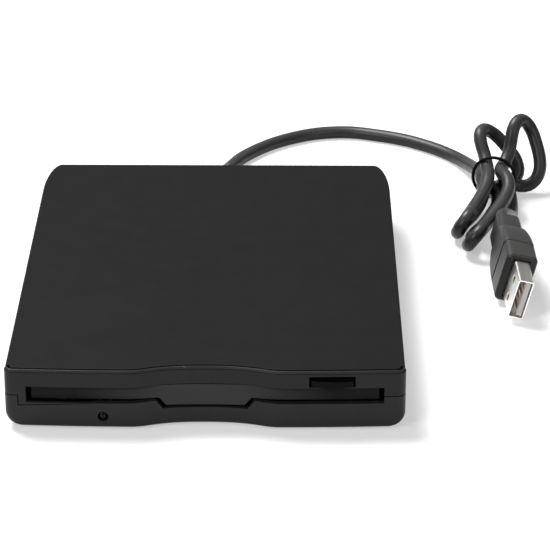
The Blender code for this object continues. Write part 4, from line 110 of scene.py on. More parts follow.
CAVITY_FOOT_INSET = 0.9 * MM

# Front bezel, its slot, notch and pocket
BEZEL_WALL = 0.9 * MM
FRONT_CUT = (FRONT_Y - OVERRUN, FRONT_Y + 2 * (RECESS_DEPTH + BEZEL_WALL))
BEZEL_TOP = 17.2 * MM
BEZEL_CHAMFER = 0.58 * MM
CREASE_HALF_WIDTH = 0.1 * MM
CREASE_DEPTH = 0.14 * MM
BEZEL_REACH = 3.4 * MM
SLOT_HALF_WIDTH = 46.35 * MM
SLOT_BOTTOM = 8.1 * MM
SLOT_TOP = 12.5 * MM
SLOT_RIM = 0.85 * MM
RIM_X = 48.35 * MM
RIM_BOTTOM = SLOT_BOTTOM - SLOT_RIM
NOTCH_BOTTOM = 5.6 * MM
NOTCH_TOP_HALF = 12.8 * MM
NOTCH_BOTTOM_HALF = 11.0 * MM
WEDGE_END_X = -29.0 * MM
WEDGE_TIP = 0.1 * MM
TIP_GAP = 0.04 * MM
LIP_CHAMFER = 0.4 * MM
POCKET_BOTTOM = 12.8 * MM
POCKET_TOP = 15.8 * MM
POCKET_SIDE_GAP = 0.45 * MM
BEZEL_EDGE_ROUND = 0.1 * MM

# Dust flap and eject button
FLAP_HALF_WIDTH = 45.1 * MM
FLAP_SETBACK = 1.5 * MM
FLAP_WALL = 0.8 * MM
FLAP_TAB_BOTTOM = 6.4 * MM
FLAP_SIDE_BOTTOM = 8.6 * MM
FLAP_TOP = 12.28 * MM
FLAP_TAB_GAP = 0.8 * MM
FLAP_AXIS_Y = -67.7 * MM
FLAP_AXIS_Z = 13.6 * MM
FLAP_PIN_RADIUS = 0.6 * MM
FLAP_PIN_LENGTH = 1.8 * MM
FLAP_LUG_WIDTH = 1.2 * MM
FLAP_LUG_HALF_DEPTH = 0.9 * MM
FLAP_LUG_RISE = 0.8 * MM
FLAP_EDGE_ROUND = 0.1 * MM
EAR_GAP = 0.5 * MM
EAR_WIDTH = 2.0 * MM
EAR_HALF_DEPTH = 1.3 * MM
EAR_RISE = 1.3 * MM
EAR_FOOT = 1.05 * MM
BUTTON_X = 32.9 * MM
BUTTON_WIDTH = 11.1 * MM
BUTTON_BOTTOM = 12.95 * MM
BUTTON_TOP = 14.7 * MM
BUTTON_PROUD = 1.0 * MM
BUTTON_BULGE = 1.4 * MM
BUTTON_BACK = 2.4 * MM
BUTTON_COLUMNS = 16
BUTTON_EDGE_ROUND = 0.25 * MM
STEM_HALF_WIDTH = 3.0 * MM
STEM_BACK = 9.2 * MM
SOCKET_WEB = 1.0 * MM
SOCKET_HALF_WIDTH = 4.0 * MM
SOCKET_LENGTH = 4.5 * MM
SOCKET_WALL = 0.35 * MM

# Indicator, screws, feet and strain relief
LED_X = -26.5 * MM
LED_Z = 4.2 * MM
LED_HOLE_RADIUS = 1.4 * MM
LENS_RADIUS = 1.15 * MM
LENS_SETBACK = 0.1 * MM
LENS_DOME = 0.75 * MM
LENS_LENGTH_END = -59.0 * MM
CASE_SCREW_PLACES = ((47.6 * MM, -63.4 * MM), (42.0 * MM, 66.0 * MM))
CHASSIS_SCREW_PLACES = ((44.5 * MM, -6.0 * MM),)
FOOT_PLACES = ((38.0 * MM, -56.0 * MM), (38.0 * MM, 54.0 * MM))
BOSS_RADIUS = 2.0 * MM
BASE_BOSS_TOP = 4.3 * MM
SCREW_HEAD_RADIUS = 1.45 * MM
SCREW_HEAD_HEIGHT = 0.7 * MM
SCREW_SHANK_RADIUS = 0.9 * MM
SCREW_SINK = 1.4 * MM
CHASSIS_SCREW_SINK = 1.1 * MM
CHASSIS_SCREW_HOLE = 1.1 * MM
SCREW_TOP = 9.0 * MM
SCREW_EDGE_ROUND = 0.22 * MM
CROSS_WIDTH = 0.35 * MM
CROSS_LENGTH = 1.7 * MM
CROSS_DEPTH = 0.45 * MM
FOOT_RADIUS = 4.0 * MM
FOOT_SEAT_DEPTH = 0.6 * MM
FOOT_EDGE_ROUND = 0.3 * MM
FOOT_RING_INSET = 0.9 * MM
FOOT_DISH = 0.15 * MM
ROUND_SIDES = 48
SMALL_SIDES = 24
CORD_Z = 6.2 * MM
GLAND_NECK_RADIUS = 2.6 * MM
GLAND_FLANGE_RADIUS = 3.4 * MM
GLAND_FLANGE = 1.3 * MM
GLAND_TIP_RADIUS = 2.2 * MM
GLAND_LENGTH = 11.5 * MM
GLAND_RIBS = 4
GLAND_RIB_DEPTH = 0.3 * MM

# Cord: the route's points are those of the CAD source
CORD_RADIUS = 2.05 * MM
CORD_STRAIGHT = 2 * CORD_RADIUS
CORD_STEP = 1.3 * MM
CORD_SIDE_STEPS = 5
ROUTE_SAMPLES = 24
RUN_POINTS = (
    (0.0008, 0.0965, 0.0042),
    (0.0025, 0.1060, 0.00195),
    (0.0074, 0.1165, 0.00195),
    (0.0168, 0.1280, 0.00195),
    (0.0290, 0.1360, 0.00195),
    (0.0410, 0.1380, 0.00195),
    (0.0520, 0.1348, 0.00195),
    (0.0600, 0.1309, 0.00195),
    (0.0660, 0.1264, 0.00195),
    (0.0699, 0.1228, 0.00195),
    (0.0737, 0.1184, 0.00195),
    (0.0761, 0.1144, 0.0022),
    (0.0783, 0.1087, 0.0030),
    (0.0799, 0.1025, 0.0042),
    (0.0811, 0.0968, 0.0054),
)
HANK_POINTS = (
    (0.0819, 0.0874, 0.0066),
    (0.0820, 0.0847, 0.0066),
    (0.0819, 0.0811, 0.0064),
    (0.0816, 0.0776, 0.0054),
    (0.0808, 0.0743, 0.0043),
    (0.0795, 0.0711, 0.0033),
    (0.0779, 0.0680, 0.0025),
    (0.0761, 0.0649, 0.0020),
    (0.0744, 0.0618, 0.0020),
    (0.0734, 0.0583, 0.0022),
    (0.0728, 0.0548, 0.0027),
    (0.0723, 0.0515, 0.0038),
    (0.0731, 0.0494, 0.0064),
    (0.0751, 0.0505, 0.0091),
    (0.0762, 0.0537, 0.0092),
    (0.0761, 0.0568, 0.0073),
    (0.0761, 0.0599, 0.0056),
    (0.0772, 0.0633, 0.0056),
    (0.0786, 0.0665, 0.0062),
    (0.0801, 0.0697, 0.0071),
    (0.0814, 0.0729, 0.0080),
    (0.0825, 0.0762, 0.0091),
    (0.0831, 0.0796, 0.0101),
    (0.0833, 0.0831, 0.0103),
    (0.0832, 0.0866, 0.0110),
    (0.0826, 0.0903, 0.0133),
    (0.0816, 0.0929, 0.0161),
    (0.0815, 0.0957, 0.0183),
    (0.0831, 0.0988, 0.0184),
    (0.0859, 0.1001, 0.0166),
    (0.0886, 0.0994, 0.0142),
    (0.0911, 0.0984, 0.0115),
    (0.0932, 0.0971, 0.0086),
    (0.0938, 0.0955, 0.0052),
    (0.0918, 0.0939, 0.0026),
    (0.0887, 0.0923, 0.0021),
    (0.0865, 0.0895, 0.0028),
    (0.0855, 0.0863, 0.0039),
    (0.0853, 0.0828, 0.0042),
    (0.0859, 0.0792, 0.0042),
    (0.0860, 0.0757, 0.0038),
    (0.0854, 0.0722, 0.0032),
    (0.0842, 0.0688, 0.0029),
    (0.0829, 0.0655, 0.0025),
    (0.0815, 0.0621, 0.0023),
    (0.0800, 0.0589, 0.0020),
    (0.0783, 0.0557, 0.0020),
    (0.0769, 0.0524, 0.0020),
    (0.0763, 0.0489, 0.0022),
    (0.0757, 0.0454, 0.0028),
    (0.0750, 0.0420, 0.0038),
    (0.0756, 0.0394, 0.0060),
    (0.0778, 0.0399, 0.0086),
    (0.0793, 0.0428, 0.0091),
    (0.0794, 0.0459, 0.0075),
    (0.0791, 0.0489, 0.0055),
    (0.0799, 0.0523, 0.0047),
    (0.0814, 0.0555, 0.0050),
    (0.0831, 0.0586, 0.0058),
    (0.0847, 0.0617, 0.0066),
    (0.0863, 0.0648, 0.0074),
    (0.0877, 0.0680, 0.0083),
    (0.0888, 0.0713, 0.0094),
    (0.0890, 0.0747, 0.0106),
    (0.0883, 0.0781, 0.0112),
    (0.0875, 0.0816, 0.0107),
    (0.0875, 0.0850, 0.0108),
    (0.0889, 0.0881, 0.0116),
    (0.0904, 0.0909, 0.0146),
    (0.0910, 0.0922, 0.0182),
    (0.0918, 0.0937, 0.0213),
    (0.0937, 0.0964, 0.0225),
    (0.0961, 0.0982, 0.0209),
    (0.0980, 0.0978, 0.0179),
    (0.0992, 0.0960, 0.0147),
    (0.1001, 0.0941, 0.0115),
    (0.1003, 0.0922, 0.0080),
    (0.0990, 0.0907, 0.0048),
    (0.0961, 0.0900, 0.0030),
    (0.0925, 0.0899, 0.0033),
    (0.0898, 0.0888, 0.0052),
    (0.0886, 0.0857, 0.0067),
    (0.0889, 0.0830, 0.0064),
)
TAIL_POINTS = (
    (0.0899, 0.0790, 0.0049),
    (0.0902, 0.0750, 0.0033),
    (0.0900, 0.0708, 0.0025),
    (0.0895, 0.0666, 0.0028),
    (0.0888, 0.0622, 0.0043),
    (0.0877, 0.0570, 0.0070),
    (0.0863, 0.0515, 0.0096),
)
# The tie, and how far from its middle the furthest strand passes it
WAIST_RADIUS = 3.75 * MM
TIE_AT = (85.4 * MM, 85.2 * MM, 7.7 * MM)
TIE_TURN = math.radians(-14)
TIE_WIRE_RADIUS = 0.5 * MM
TIE_SIDES = 12

# Plug, in its own frame: the opening at its origin, +Y towards the cord, Z across its width
PLUG_X = 86.8 * MM
PLUG_Y = -4.8 * MM
PLUG_REST = 0.15 * MM
PLUG_TURN = math.radians(2.0)
PLUG_DIP = math.radians(4.0)
PLUG_ROLL = math.radians(14.0)
SHELL_WIDTH = 12.0 * MM
SHELL_HEIGHT = 4.5 * MM
SHELL_SHEET = 0.35 * MM
SHELL_EXPOSED = 12.0 * MM
SHELL_SEATED = 2.2 * MM
SHELL_ROUND = 0.7 * MM
SHELL_HOLE_WIDTH = 2.0 * MM
SHELL_HOLE_LENGTH = 2.6 * MM
SHELL_HOLE_FRONT = 5.2 * MM
SHELL_HOLE_OUT = 2.9 * MM
SHELL_SEAM_WIDTH = 0.12 * MM
SHELL_SEAM_DEPTH = 0.15 * MM
TONGUE_THICKNESS = 1.4 * MM
TONGUE_SETBACK = 0.4 * MM
TONGUE_SIDE_GAP = 0.45 * MM
CONTACT_WIDTH = 1.0 * MM
CONTACT_THICKNESS = 0.2 * MM
CONTACT_LENGTH = 7.5 * MM
CONTACT_SETBACK = 1.1 * MM
CONTACT_PLACES = (-3.5 * MM, -1.0 * MM, 1.0 * MM, 3.5 * MM)
GRIP_WIDTH = 15.4 * MM
GRIP_HEIGHT = 9.2 * MM
GRIP_LENGTH = 32.0 * MM
GRIP_ROUND = 1.6 * MM
GRIP_EDGE_ROUND = 0.12 * MM
GRIP_POCKET = 2.6 * MM
GRIP_SLEEVE_LENGTH = 3.0 * MM
GRIP_SLEEVE_RADIUS = 2.4 * MM
GRIP_SLEEVE_TIP = 2.1 * MM
GRIP_SLEEVE_RIBS = 2
GRIP_RIB_DEPTH = 0.25 * MM
# Each section: share of the grip's length behind its front, share of width, share of height
GRIP_SHARES = (
    (0.0, 0.93, 0.9),
    (0.02, 1.0, 1.0),
    (0.26, 1.0, 1.0),
    (0.268, 0.96, 0.93),
    (0.288, 0.96, 0.93),
    (0.296, 1.0, 1.0),
    (0.36, 0.99, 1.0),
    (0.44, 0.965, 0.99),
    (0.52, 0.92, 0.97),
    (0.6, 0.855, 0.94),
    (0.67, 0.78, 0.9),
    (0.72, 0.7, 0.86),
    (0.735, 0.64, 0.8),
    (0.985, 0.62, 0.78),
    (1.0, 0.58, 0.72),
)


# Modelling by hand: one piece is edited at a time, and what an operator acts on is picked in code


def deselect():
    if bpy.context.mode != "OBJECT":
        bpy.ops.object.mode_set(mode="OBJECT")
    bpy.ops.object.select_all(action="DESELECT")


def select_only(piece):
    deselect()
    bpy.context.view_layer.objects.active = piece
    piece.select_set(True)


def work_on(piece):
    select_only(piece)
    bpy.ops.object.mode_set(mode="EDIT")


def pick(piece, kind, test):
    """Select the vertices, edges or faces of the piece in edit mode that pass a test."""
    bpy.ops.mesh.select_all(action="DESELECT")
    bpy.ops.mesh.select_mode(type=kind)
    mesh = bmesh.from_edit_mesh(piece.data)
    items = {"VERT": mesh.verts, "EDGE": mesh.edges, "FACE": mesh.faces}[kind]
    found = 0
    for item in items:
        if test(item):
            item.select_set(True)
            found += 1
    mesh.select_flush_mode()
    bmesh.update_edit_mesh(piece.data)
    return found


def close_to(value, target):
    return abs(value - target) < MERGE_DISTANCE


def midpoint(edge):
    return (edge.verts[0].co + edge.verts[1].co) / 2


def link(item):
    bpy.context.scene.collection.objects.link(item)


def name_new(name):
    piece = bpy.context.object
    piece.name = name
    piece.data.name = name
    return piece


def block(name, x, y, z):
    """A block between two places along each axis."""
    deselect()
    middle = [(span[0] + span[1]) / 2 for span in (x, y, z)]
    size = [span[1] - span[0] for span in (x, y, z)]
    bpy.ops.mesh.primitive_cube_add(size=1.0, location=middle)
    piece = name_new(name)
    piece.scale = size
    place_for_good(piece)
    return piece


def place_for_good(piece):
    select_only(piece)
    bpy.ops.object.transform_apply(location=True, rotation=True, scale=True)
    deselect()


def spot(axis, along, middle):
    """A place, from its coordinate along an axis and its two others."""
    place = [0.0, 0.0, 0.0]
    for index, value in zip(AXES[axis], (along, *middle)):
        place[index] = value
    return place


def rod(name, axis, middle, radius, span, sides=ROUND_SIDES):
    """A round bar along an axis, through a place given by its two other coordinates."""
    deselect()
    bpy.ops.mesh.primitive_cylinder_add(
        vertices=sides,
        radius=radius,
        depth=span[1] - span[0],
        location=spot(axis, (span[0] + span[1]) / 2, middle),
        rotation=TURNS[axis],
    )
    piece = name_new(name)
    place_for_good(piece)
    return piece


def outline_block(name, outline, span, axis="Z"):
    """A block of any outline: the rim of a disc is moved to the outline and its face extruded."""
    deselect()
    bpy.ops.mesh.primitive_circle_add(vertices=len(outline), radius=MM, fill_type="NGON")
    piece = name_new(name)
    work_on(piece)
    bpy.ops.mesh.select_mode(type="VERT")
    for index, corner in enumerate(outline):
        mesh = bmesh.from_edit_mesh(piece.data)
        mesh.verts.ensure_lookup_table()
        bpy.ops.mesh.select_all(action="DESELECT")
        vertex = mesh.verts[index]
        vertex.select_set(True)
        bpy.ops.transform.translate(value=Vector(spot(axis, span[0], corner)) - vertex.co)
    bpy.ops.mesh.select_all(action="SELECT")
    rise = spot(axis, span[1] - span[0], (0.0, 0.0))
    bpy.ops.mesh.extrude_region_move(TRANSFORM_OT_translate={"value": rise})
    face_out(piece)
    return piece


def face_out(piece):
    if bpy.context.mode == "OBJECT":
        work_on(piece)
    bpy.ops.mesh.select_all(action="SELECT")
    bpy.ops.mesh.normals_make_consistent(inside=False)
    deselect()


def cut_level(place, normal=(0, 0, 1)):
    """A ring of new edges where a plane passes through the piece in edit mode."""
    bpy.ops.mesh.select_all(action="SELECT")
    bpy.ops.mesh.bisect(plane_co=place, plane_no=normal)


def change(piece, operation, *tools):
    """Add the tools to a piece or cut them out of it, one after another."""
    for tool in tools:
        modifier = piece.modifiers.new("change", "BOOLEAN")
        modifier.operation = operation
        modifier.object = tool
        modifier.solver = "EXACT"
        select_only(piece)
        bpy.ops.object.modifier_apply(modifier=modifier.name)
        deselect()
        bpy.data.objects.remove(tool)


def add(piece, *tools):
    change(piece, "UNION", *tools)


def cut(piece, *tools):
    change(piece, "DIFFERENCE", *tools)


def soften(piece, width, steps, test=None):
    """Round the sharp edges that pass a test, once stray points and flat edges are gone."""
    work_on(piece)
    bpy.ops.mesh.select_all(action="SELECT")
    bpy.ops.mesh.remove_doubles(threshold=MERGE_DISTANCE)
    bpy.ops.mesh.dissolve_limited(angle_limit=FLAT_ANGLE)

    def sharp(edge):
        if len(edge.link_faces) != 2 or edge.calc_face_angle(0.0) < SHARP_ANGLE:
            return False
        return test is None or test(midpoint(edge))

    if pick(piece, "EDGE", sharp):
        bpy.ops.mesh.bevel(offset=width, segments=steps, affect="EDGES", loop_slide=False)
    deselect()


def spun(name, axis, middle, profile, sides=ROUND_SIDES):
    """A turned piece: a disc is extruded and resized from ring to ring along its axis."""
    along = AXES[axis][0]
    radius, start = profile[0]
    place = spot(axis, start, middle)
    deselect()
    bpy.ops.mesh.primitive_circle_add(
        vertices=sides,
        radius=radius,
        fill_type="NGON",
        location=place,
        rotation=TURNS[axis],
    )
    piece = name_new(name)
    place_for_good(piece)
    work_on(piece)
    bpy.ops.mesh.select_all(action="SELECT")
    for next_radius, along_next in profile[1:]:
        step = spot(axis, along_next - place[along], (0.0, 0.0))
        bpy.ops.mesh.extrude_region_move(TRANSFORM_OT_translate={"value": step})
        place[along] = along_next
        scale = [next_radius / radius] * 3
        scale[along] = 1.0
        bpy.ops.transform.resize(value=scale, center_override=place)
        radius = next_radius
    face_out(piece)
    return piece


def copy_of(piece, name, move):
    other = piece.copy()
    other.data = piece.data.copy()
    other.name = name
    other.data.name = name
    link(other)
    other.location = move
    place_for_good(other)
    return other


def copies(first, name, moves):
    """The first piece, and a copy of it for each move, named by number."""
    return [first] + [copy_of(first, f"{name}_{number}", move) for number, move in enumerate(moves, 2)]


def finish_piece(piece, material, body, slot, *nodes):
    """Smooth the piece's rounds, give it its material and fix it to its body."""
    select_only(piece)
    bpy.ops.object.shade_smooth_by_angle(angle=SMOOTH_ANGLE)
    weighted = piece.modifiers.new("normals", "WEIGHTED_NORMAL")
    weighted.keep_sharp = True
    bpy.ops.object.modifier_apply(modifier=weighted.name)
    deselect()
    piece.data.materials.clear()
    piece.data.materials.append(material)
    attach(piece, body)
    if nodes:
        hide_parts(*nodes)
    return piece


def around(middle, half):
    return (middle - half, middle + half)


def past(span, more=OVERRUN):
    return (span[0] - more, span[1] + more)


def between(side, near, far):
    return tuple(sorted((side * near, side * far)))


def both_sides(places):
    return [(side * x, y) for x, y in places for side in (-1, 1)]


def moves_from_first(places):
    return [(x - places[0][0], y - places[0][1], 0) for x, y in places[1:]]


# The case's outline, seen from above


def recess_share(x):
    """How deep the finger recess is at x, as a share of its full depth."""
    away = abs(x) / RECESS_HALF_WIDTH
    blend = RECESS_BLEND_SHARE
    left = 1 - blend**RECESS_POWER
    reach = 2 * left / (RECESS_POWER * blend ** (RECESS_POWER - 1))
    if away <= blend:
        return 1 - away**RECESS_POWER
    if away >= blend + reach:
        return 0.0
    return left * ((blend + reach - away) / reach) ** 2


def bow_at(x):
    beyond = max(0.0, abs(x) - RECESS_HALF_WIDTH) / (HALF_WIDTH - RECESS_HALF_WIDTH)
    return FRONT_BOW * beyond**2


def front_at(x):
    return FRONT_Y + bow_at(x) + RECESS_DEPTH * recess_share(x)


def front_xs(last):
    recess_end = RECESS_LAST_SHARE * RECESS_HALF_WIDTH
    inner = [recess_end * step / RECESS_COLUMNS for step in range(RECESS_COLUMNS)]
    outer = [recess_end + (last - recess_end) * step / BOW_COLUMNS for step in range(BOW_COLUMNS)]
    return inner + outer + [last]


def right_front(side_inset, front_inset):
    """The right half of the front and its corner, from the middle outwards."""
    radius = FRONT_CORNER_RADIUS
    corner_x = HALF_WIDTH - radius
    points = [(x, front_at(x) + front_inset) for x in front_xs(corner_x)]
    inner = max(radius - max(side_inset, front_inset), radius / 4)
    turn_x = HALF_WIDTH - side_inset - inner
    turn_y = points[-1][1] + inner
    points[-1] = (min(corner_x, turn_x), points[-1][1])
    for step in range(1, CORNER_STEPS + 1):
        angle = math.pi / 2 * step / CORNER_STEPS
        points.append((turn_x + inner * math.sin(angle), turn_y - inner * math.cos(angle)))
    return points


def right_rear(side_inset, rear_inset):
    middle_x = HALF_WIDTH - side_inset - REAR_CORNER_ACROSS
    middle_y = REAR_Y - rear_inset - REAR_CORNER_ALONG
    points = []
    for step in range(REAR_CORNER_STEPS + 1):
        angle = math.pi / 2 * step / REAR_CORNER_STEPS
        across = REAR_CORNER_ACROSS * math.cos(angle)
        along = REAR_CORNER_ALONG * math.sin(angle)
        points.append((middle_x + across, middle_y + along))
    return points


def mirrored(right):
    """A whole outline from its right half, whose first point is on the middle line."""
    return right + [(-x, y) for x, y in reversed(right[1:])]


def case_outline(inset=0.0):
    return mirrored(right_front(inset, inset) + right_rear(inset, inset))


def open_outline(inset):
    """The cavity's outline, open through the front."""
    edge = HALF_WIDTH - inset
    return mirrored([(0.0, FRONT_Y - OVERRUN), (edge, FRONT_Y - OVERRUN)] + right_rear(inset, inset))


def cover_outline():
    """The top cover steps in behind the bezel, whose ends reach round both corners."""
    inset = BEZEL_WALL + GAP
    seam = FRONT_Y + BEZEL_REACH + GAP
    right = right_front(inset, inset) + [(HALF_WIDTH - inset, seam), (HALF_WIDTH, seam)]
    return mirrored(right + right_rear(0.0, 0.0))


def strip_outline(outer, inner):
    """A wall that follows the front and ends behind both corners."""

    def whole(inset):
        right = right_front(inset, inset) + [(HALF_WIDTH - inset, FRONT_Y + BEZEL_REACH)]
        return [(-x, y) for x, y in reversed(right[1:])] + right

    return whole(outer) + whole(inner)[::-1]


# Case


def top_cover(material):
    low = PARTING_Z + SEAM_GAP / 2
    cover = outline_block("top_cover_shell", cover_outline(), (low, CASE_TOP))
    work_on(cover)
    cut_level((0, 0, DRAFT_FROM_Z))
    pick(cover, "VERT", lambda vertex: close_to(vertex.co.z, CASE_TOP))
    depth = REAR_Y - FRONT_Y
    shrink = (1 - COVER_DRAFT / HALF_WIDTH, 1 - COVER_DRAFT / depth, 1)
    bpy.ops.transform.resize(value=shrink, center_override=(0, FRONT_Y, 0))
    deselect()
    seam = FRONT_Y + BEZEL_REACH + GAP
    soften(cover, COVER_EDGE_ROUND, 4, lambda at: close_to(at.z, CASE_TOP) and at.y > seam + RECESS_DEPTH)
    soften(
        cover,
        GROOVE_EDGE_ROUND,
        3,
        lambda at: close_to(at.z, CASE_TOP) and at.y < seam + RECESS_DEPTH,
    )
    hollow = outline_block("hollow", open_outline(CASE_WALL), (low - OVERRUN, CEILING_Z))
    cut(cover, hollow)
    for place in both_sides(CASE_SCREW_PLACES):
        boss_span = (BASE_BOSS_TOP + GAP, CEILING_Z + GAP)
        add(cover, rod("boss", "Z", place, BOSS_RADIUS, boss_span, SMALL_SIDES))
        pilot_span = (BASE_BOSS_TOP - GAP, SCREW_TOP + 2 * GAP)
        pilot = rod("pilot", "Z", place, SCREW_SHANK_RADIUS + GAP, pilot_span, SMALL_SIDES)
        cut(cover, pilot)
    outside = HALF_WIDTH - CASE_WALL / 2
    soften(cover, SEAM_EDGE_ROUND, 2, lambda at: close_to(at.z, low) and abs(at.x) > outside)
    return finish_piece(cover, material, "drive", "case_plastic", "top_cover")


def round_the_foot(base):
    """Large rounds along the base's sides and small ones at its ends, level by level."""
    middle_y = (FRONT_Y + REAR_Y) / 2
    half_depth = (REAR_Y - FRONT_Y) / 2
    levels = []
    for step in range(ROUND_LEVELS):
        angle = math.pi / 2 * step / ROUND_LEVELS
        rise = SIDE_ROUND * (1 - math.cos(angle))
        side = SIDE_ROUND * (1 - math.sin(angle))
        short = max(0.0, END_ROUND - rise)
        end = END_ROUND - math.sqrt(END_ROUND**2 - short**2)
        levels.append((CASE_BOTTOM + rise, side, end))
    work_on(base)
    for level in levels[1:]:
        cut_level((0, 0, level[0]))
    cut_level((0, 0, CASE_BOTTOM + SIDE_ROUND))
    for z, side, end in levels:
        pick(base, "VERT", lambda vertex, level=z: close_to(vertex.co.z, level))
        shrink = (1 - side / HALF_WIDTH, 1 - end / half_depth, 1)
        bpy.ops.transform.resize(value=shrink, center_override=(0, middle_y, 0))
    deselect()


def base_case(material):
    high = PARTING_Z - SEAM_GAP / 2
    base = outline_block("base_case_shell", case_outline(), (CASE_BOTTOM, high))
    round_the_foot(base)
    foot = outline_block("foot", case_outline(CASE_WALL), (FLOOR_Z, PARTING_Z + OVERRUN))
    work_on(foot)
    cut_level((0, 0, CASE_BOTTOM + SIDE_ROUND))
    pick(foot, "VERT", lambda vertex: close_to(vertex.co.z, FLOOR_Z))
    shrink = (1 - CAVITY_FOOT_INSET / (HALF_WIDTH - CASE_WALL), 1, 1)
    bpy.ops.transform.resize(value=shrink, center_override=(0, 0, 0))
    deselect()
    cut(base, foot)
    seat_bottom = RIM_BOTTOM - SEAM_GAP
    tip_x, tip_z = WEDGE_END_X + TIP_GAP, SLOT_BOTTOM - WEDGE_TIP - TIP_GAP
    opening = [
        (-RIM_X - SEAM_GAP, PARTING_Z + OVERRUN),
        (-RIM_X - SEAM_GAP, seat_bottom),
        (tip_x, tip_z),
        (tip_x, SLOT_BOTTOM),
        (-NOTCH_TOP_HALF, SLOT_BOTTOM),
        (-NOTCH_BOTTOM_HALF, NOTCH_BOTTOM),
        (NOTCH_BOTTOM_HALF, NOTCH_BOTTOM),
        (NOTCH_TOP_HALF, SLOT_BOTTOM),
        (SLOT_HALF_WIDTH, SLOT_BOTTOM),
        (SLOT_HALF_WIDTH, PARTING_Z + OVERRUN),
    ]
    cut(base, outline_block("opening", opening, FRONT_CUT, "Y"))
    soften(base, SEAM_EDGE_ROUND, 2, lambda at: at.z > NOTCH_BOTTOM - GAP and at.y < FRONT_CUT[1])
    soften(base, SEAM_EDGE_ROUND, 2, lambda at: close_to(at.z, high) and at.y >= FRONT_CUT[1])
    cut(base, rod("lens_hole", "Y", (LED_X, LED_Z), LED_HOLE_RADIUS, FRONT_CUT))
    gland_span = past((REAR_Y - CASE_WALL, REAR_Y))
    cut(base, rod("gland_hole", "Y", (0, CORD_Z), GLAND_NECK_RADIUS + GAP, gland_span))
    for place in both_sides(CASE_SCREW_PLACES):
        boss_span = (FLOOR_Z - GAP, BASE_BOSS_TOP)
        add(base, rod("boss", "Z", place, BOSS_RADIUS, boss_span, SMALL_SIDES))
        bore_span = (-OVERRUN, BASE_BOSS_TOP + OVERRUN)
        bore = rod("bore", "Z", place, SCREW_SHANK_RADIUS + GAP, bore_span, SMALL_SIDES)
        sink_span = (-OVERRUN, CASE_BOTTOM + SCREW_SINK)
        cut(base, bore, rod("sink", "Z", place, SCREW_HEAD_RADIUS + GAP, sink_span))
    for place in both_sides(CHASSIS_SCREW_PLACES):
        bore_span = (-OVERRUN, FLOOR_Z + OVERRUN)
        bore = rod("bore", "Z", place, CHASSIS_SCREW_HOLE, bore_span, SMALL_SIDES)
        sink_span = (-OVERRUN, CASE_BOTTOM + CHASSIS_SCREW_SINK)
        cut(base, bore, rod("sink", "Z", place, SCREW_HEAD_RADIUS + GAP, sink_span))
    for place in both_sides(FOOT_PLACES):
        seat_span = (-OVERRUN, CASE_BOTTOM + FOOT_SEAT_DEPTH)
        cut(base, rod("seat", "Z", place, FOOT_RADIUS + GAP, seat_span))
    return finish_piece(base, material, "drive", "case_plastic", "base_case")


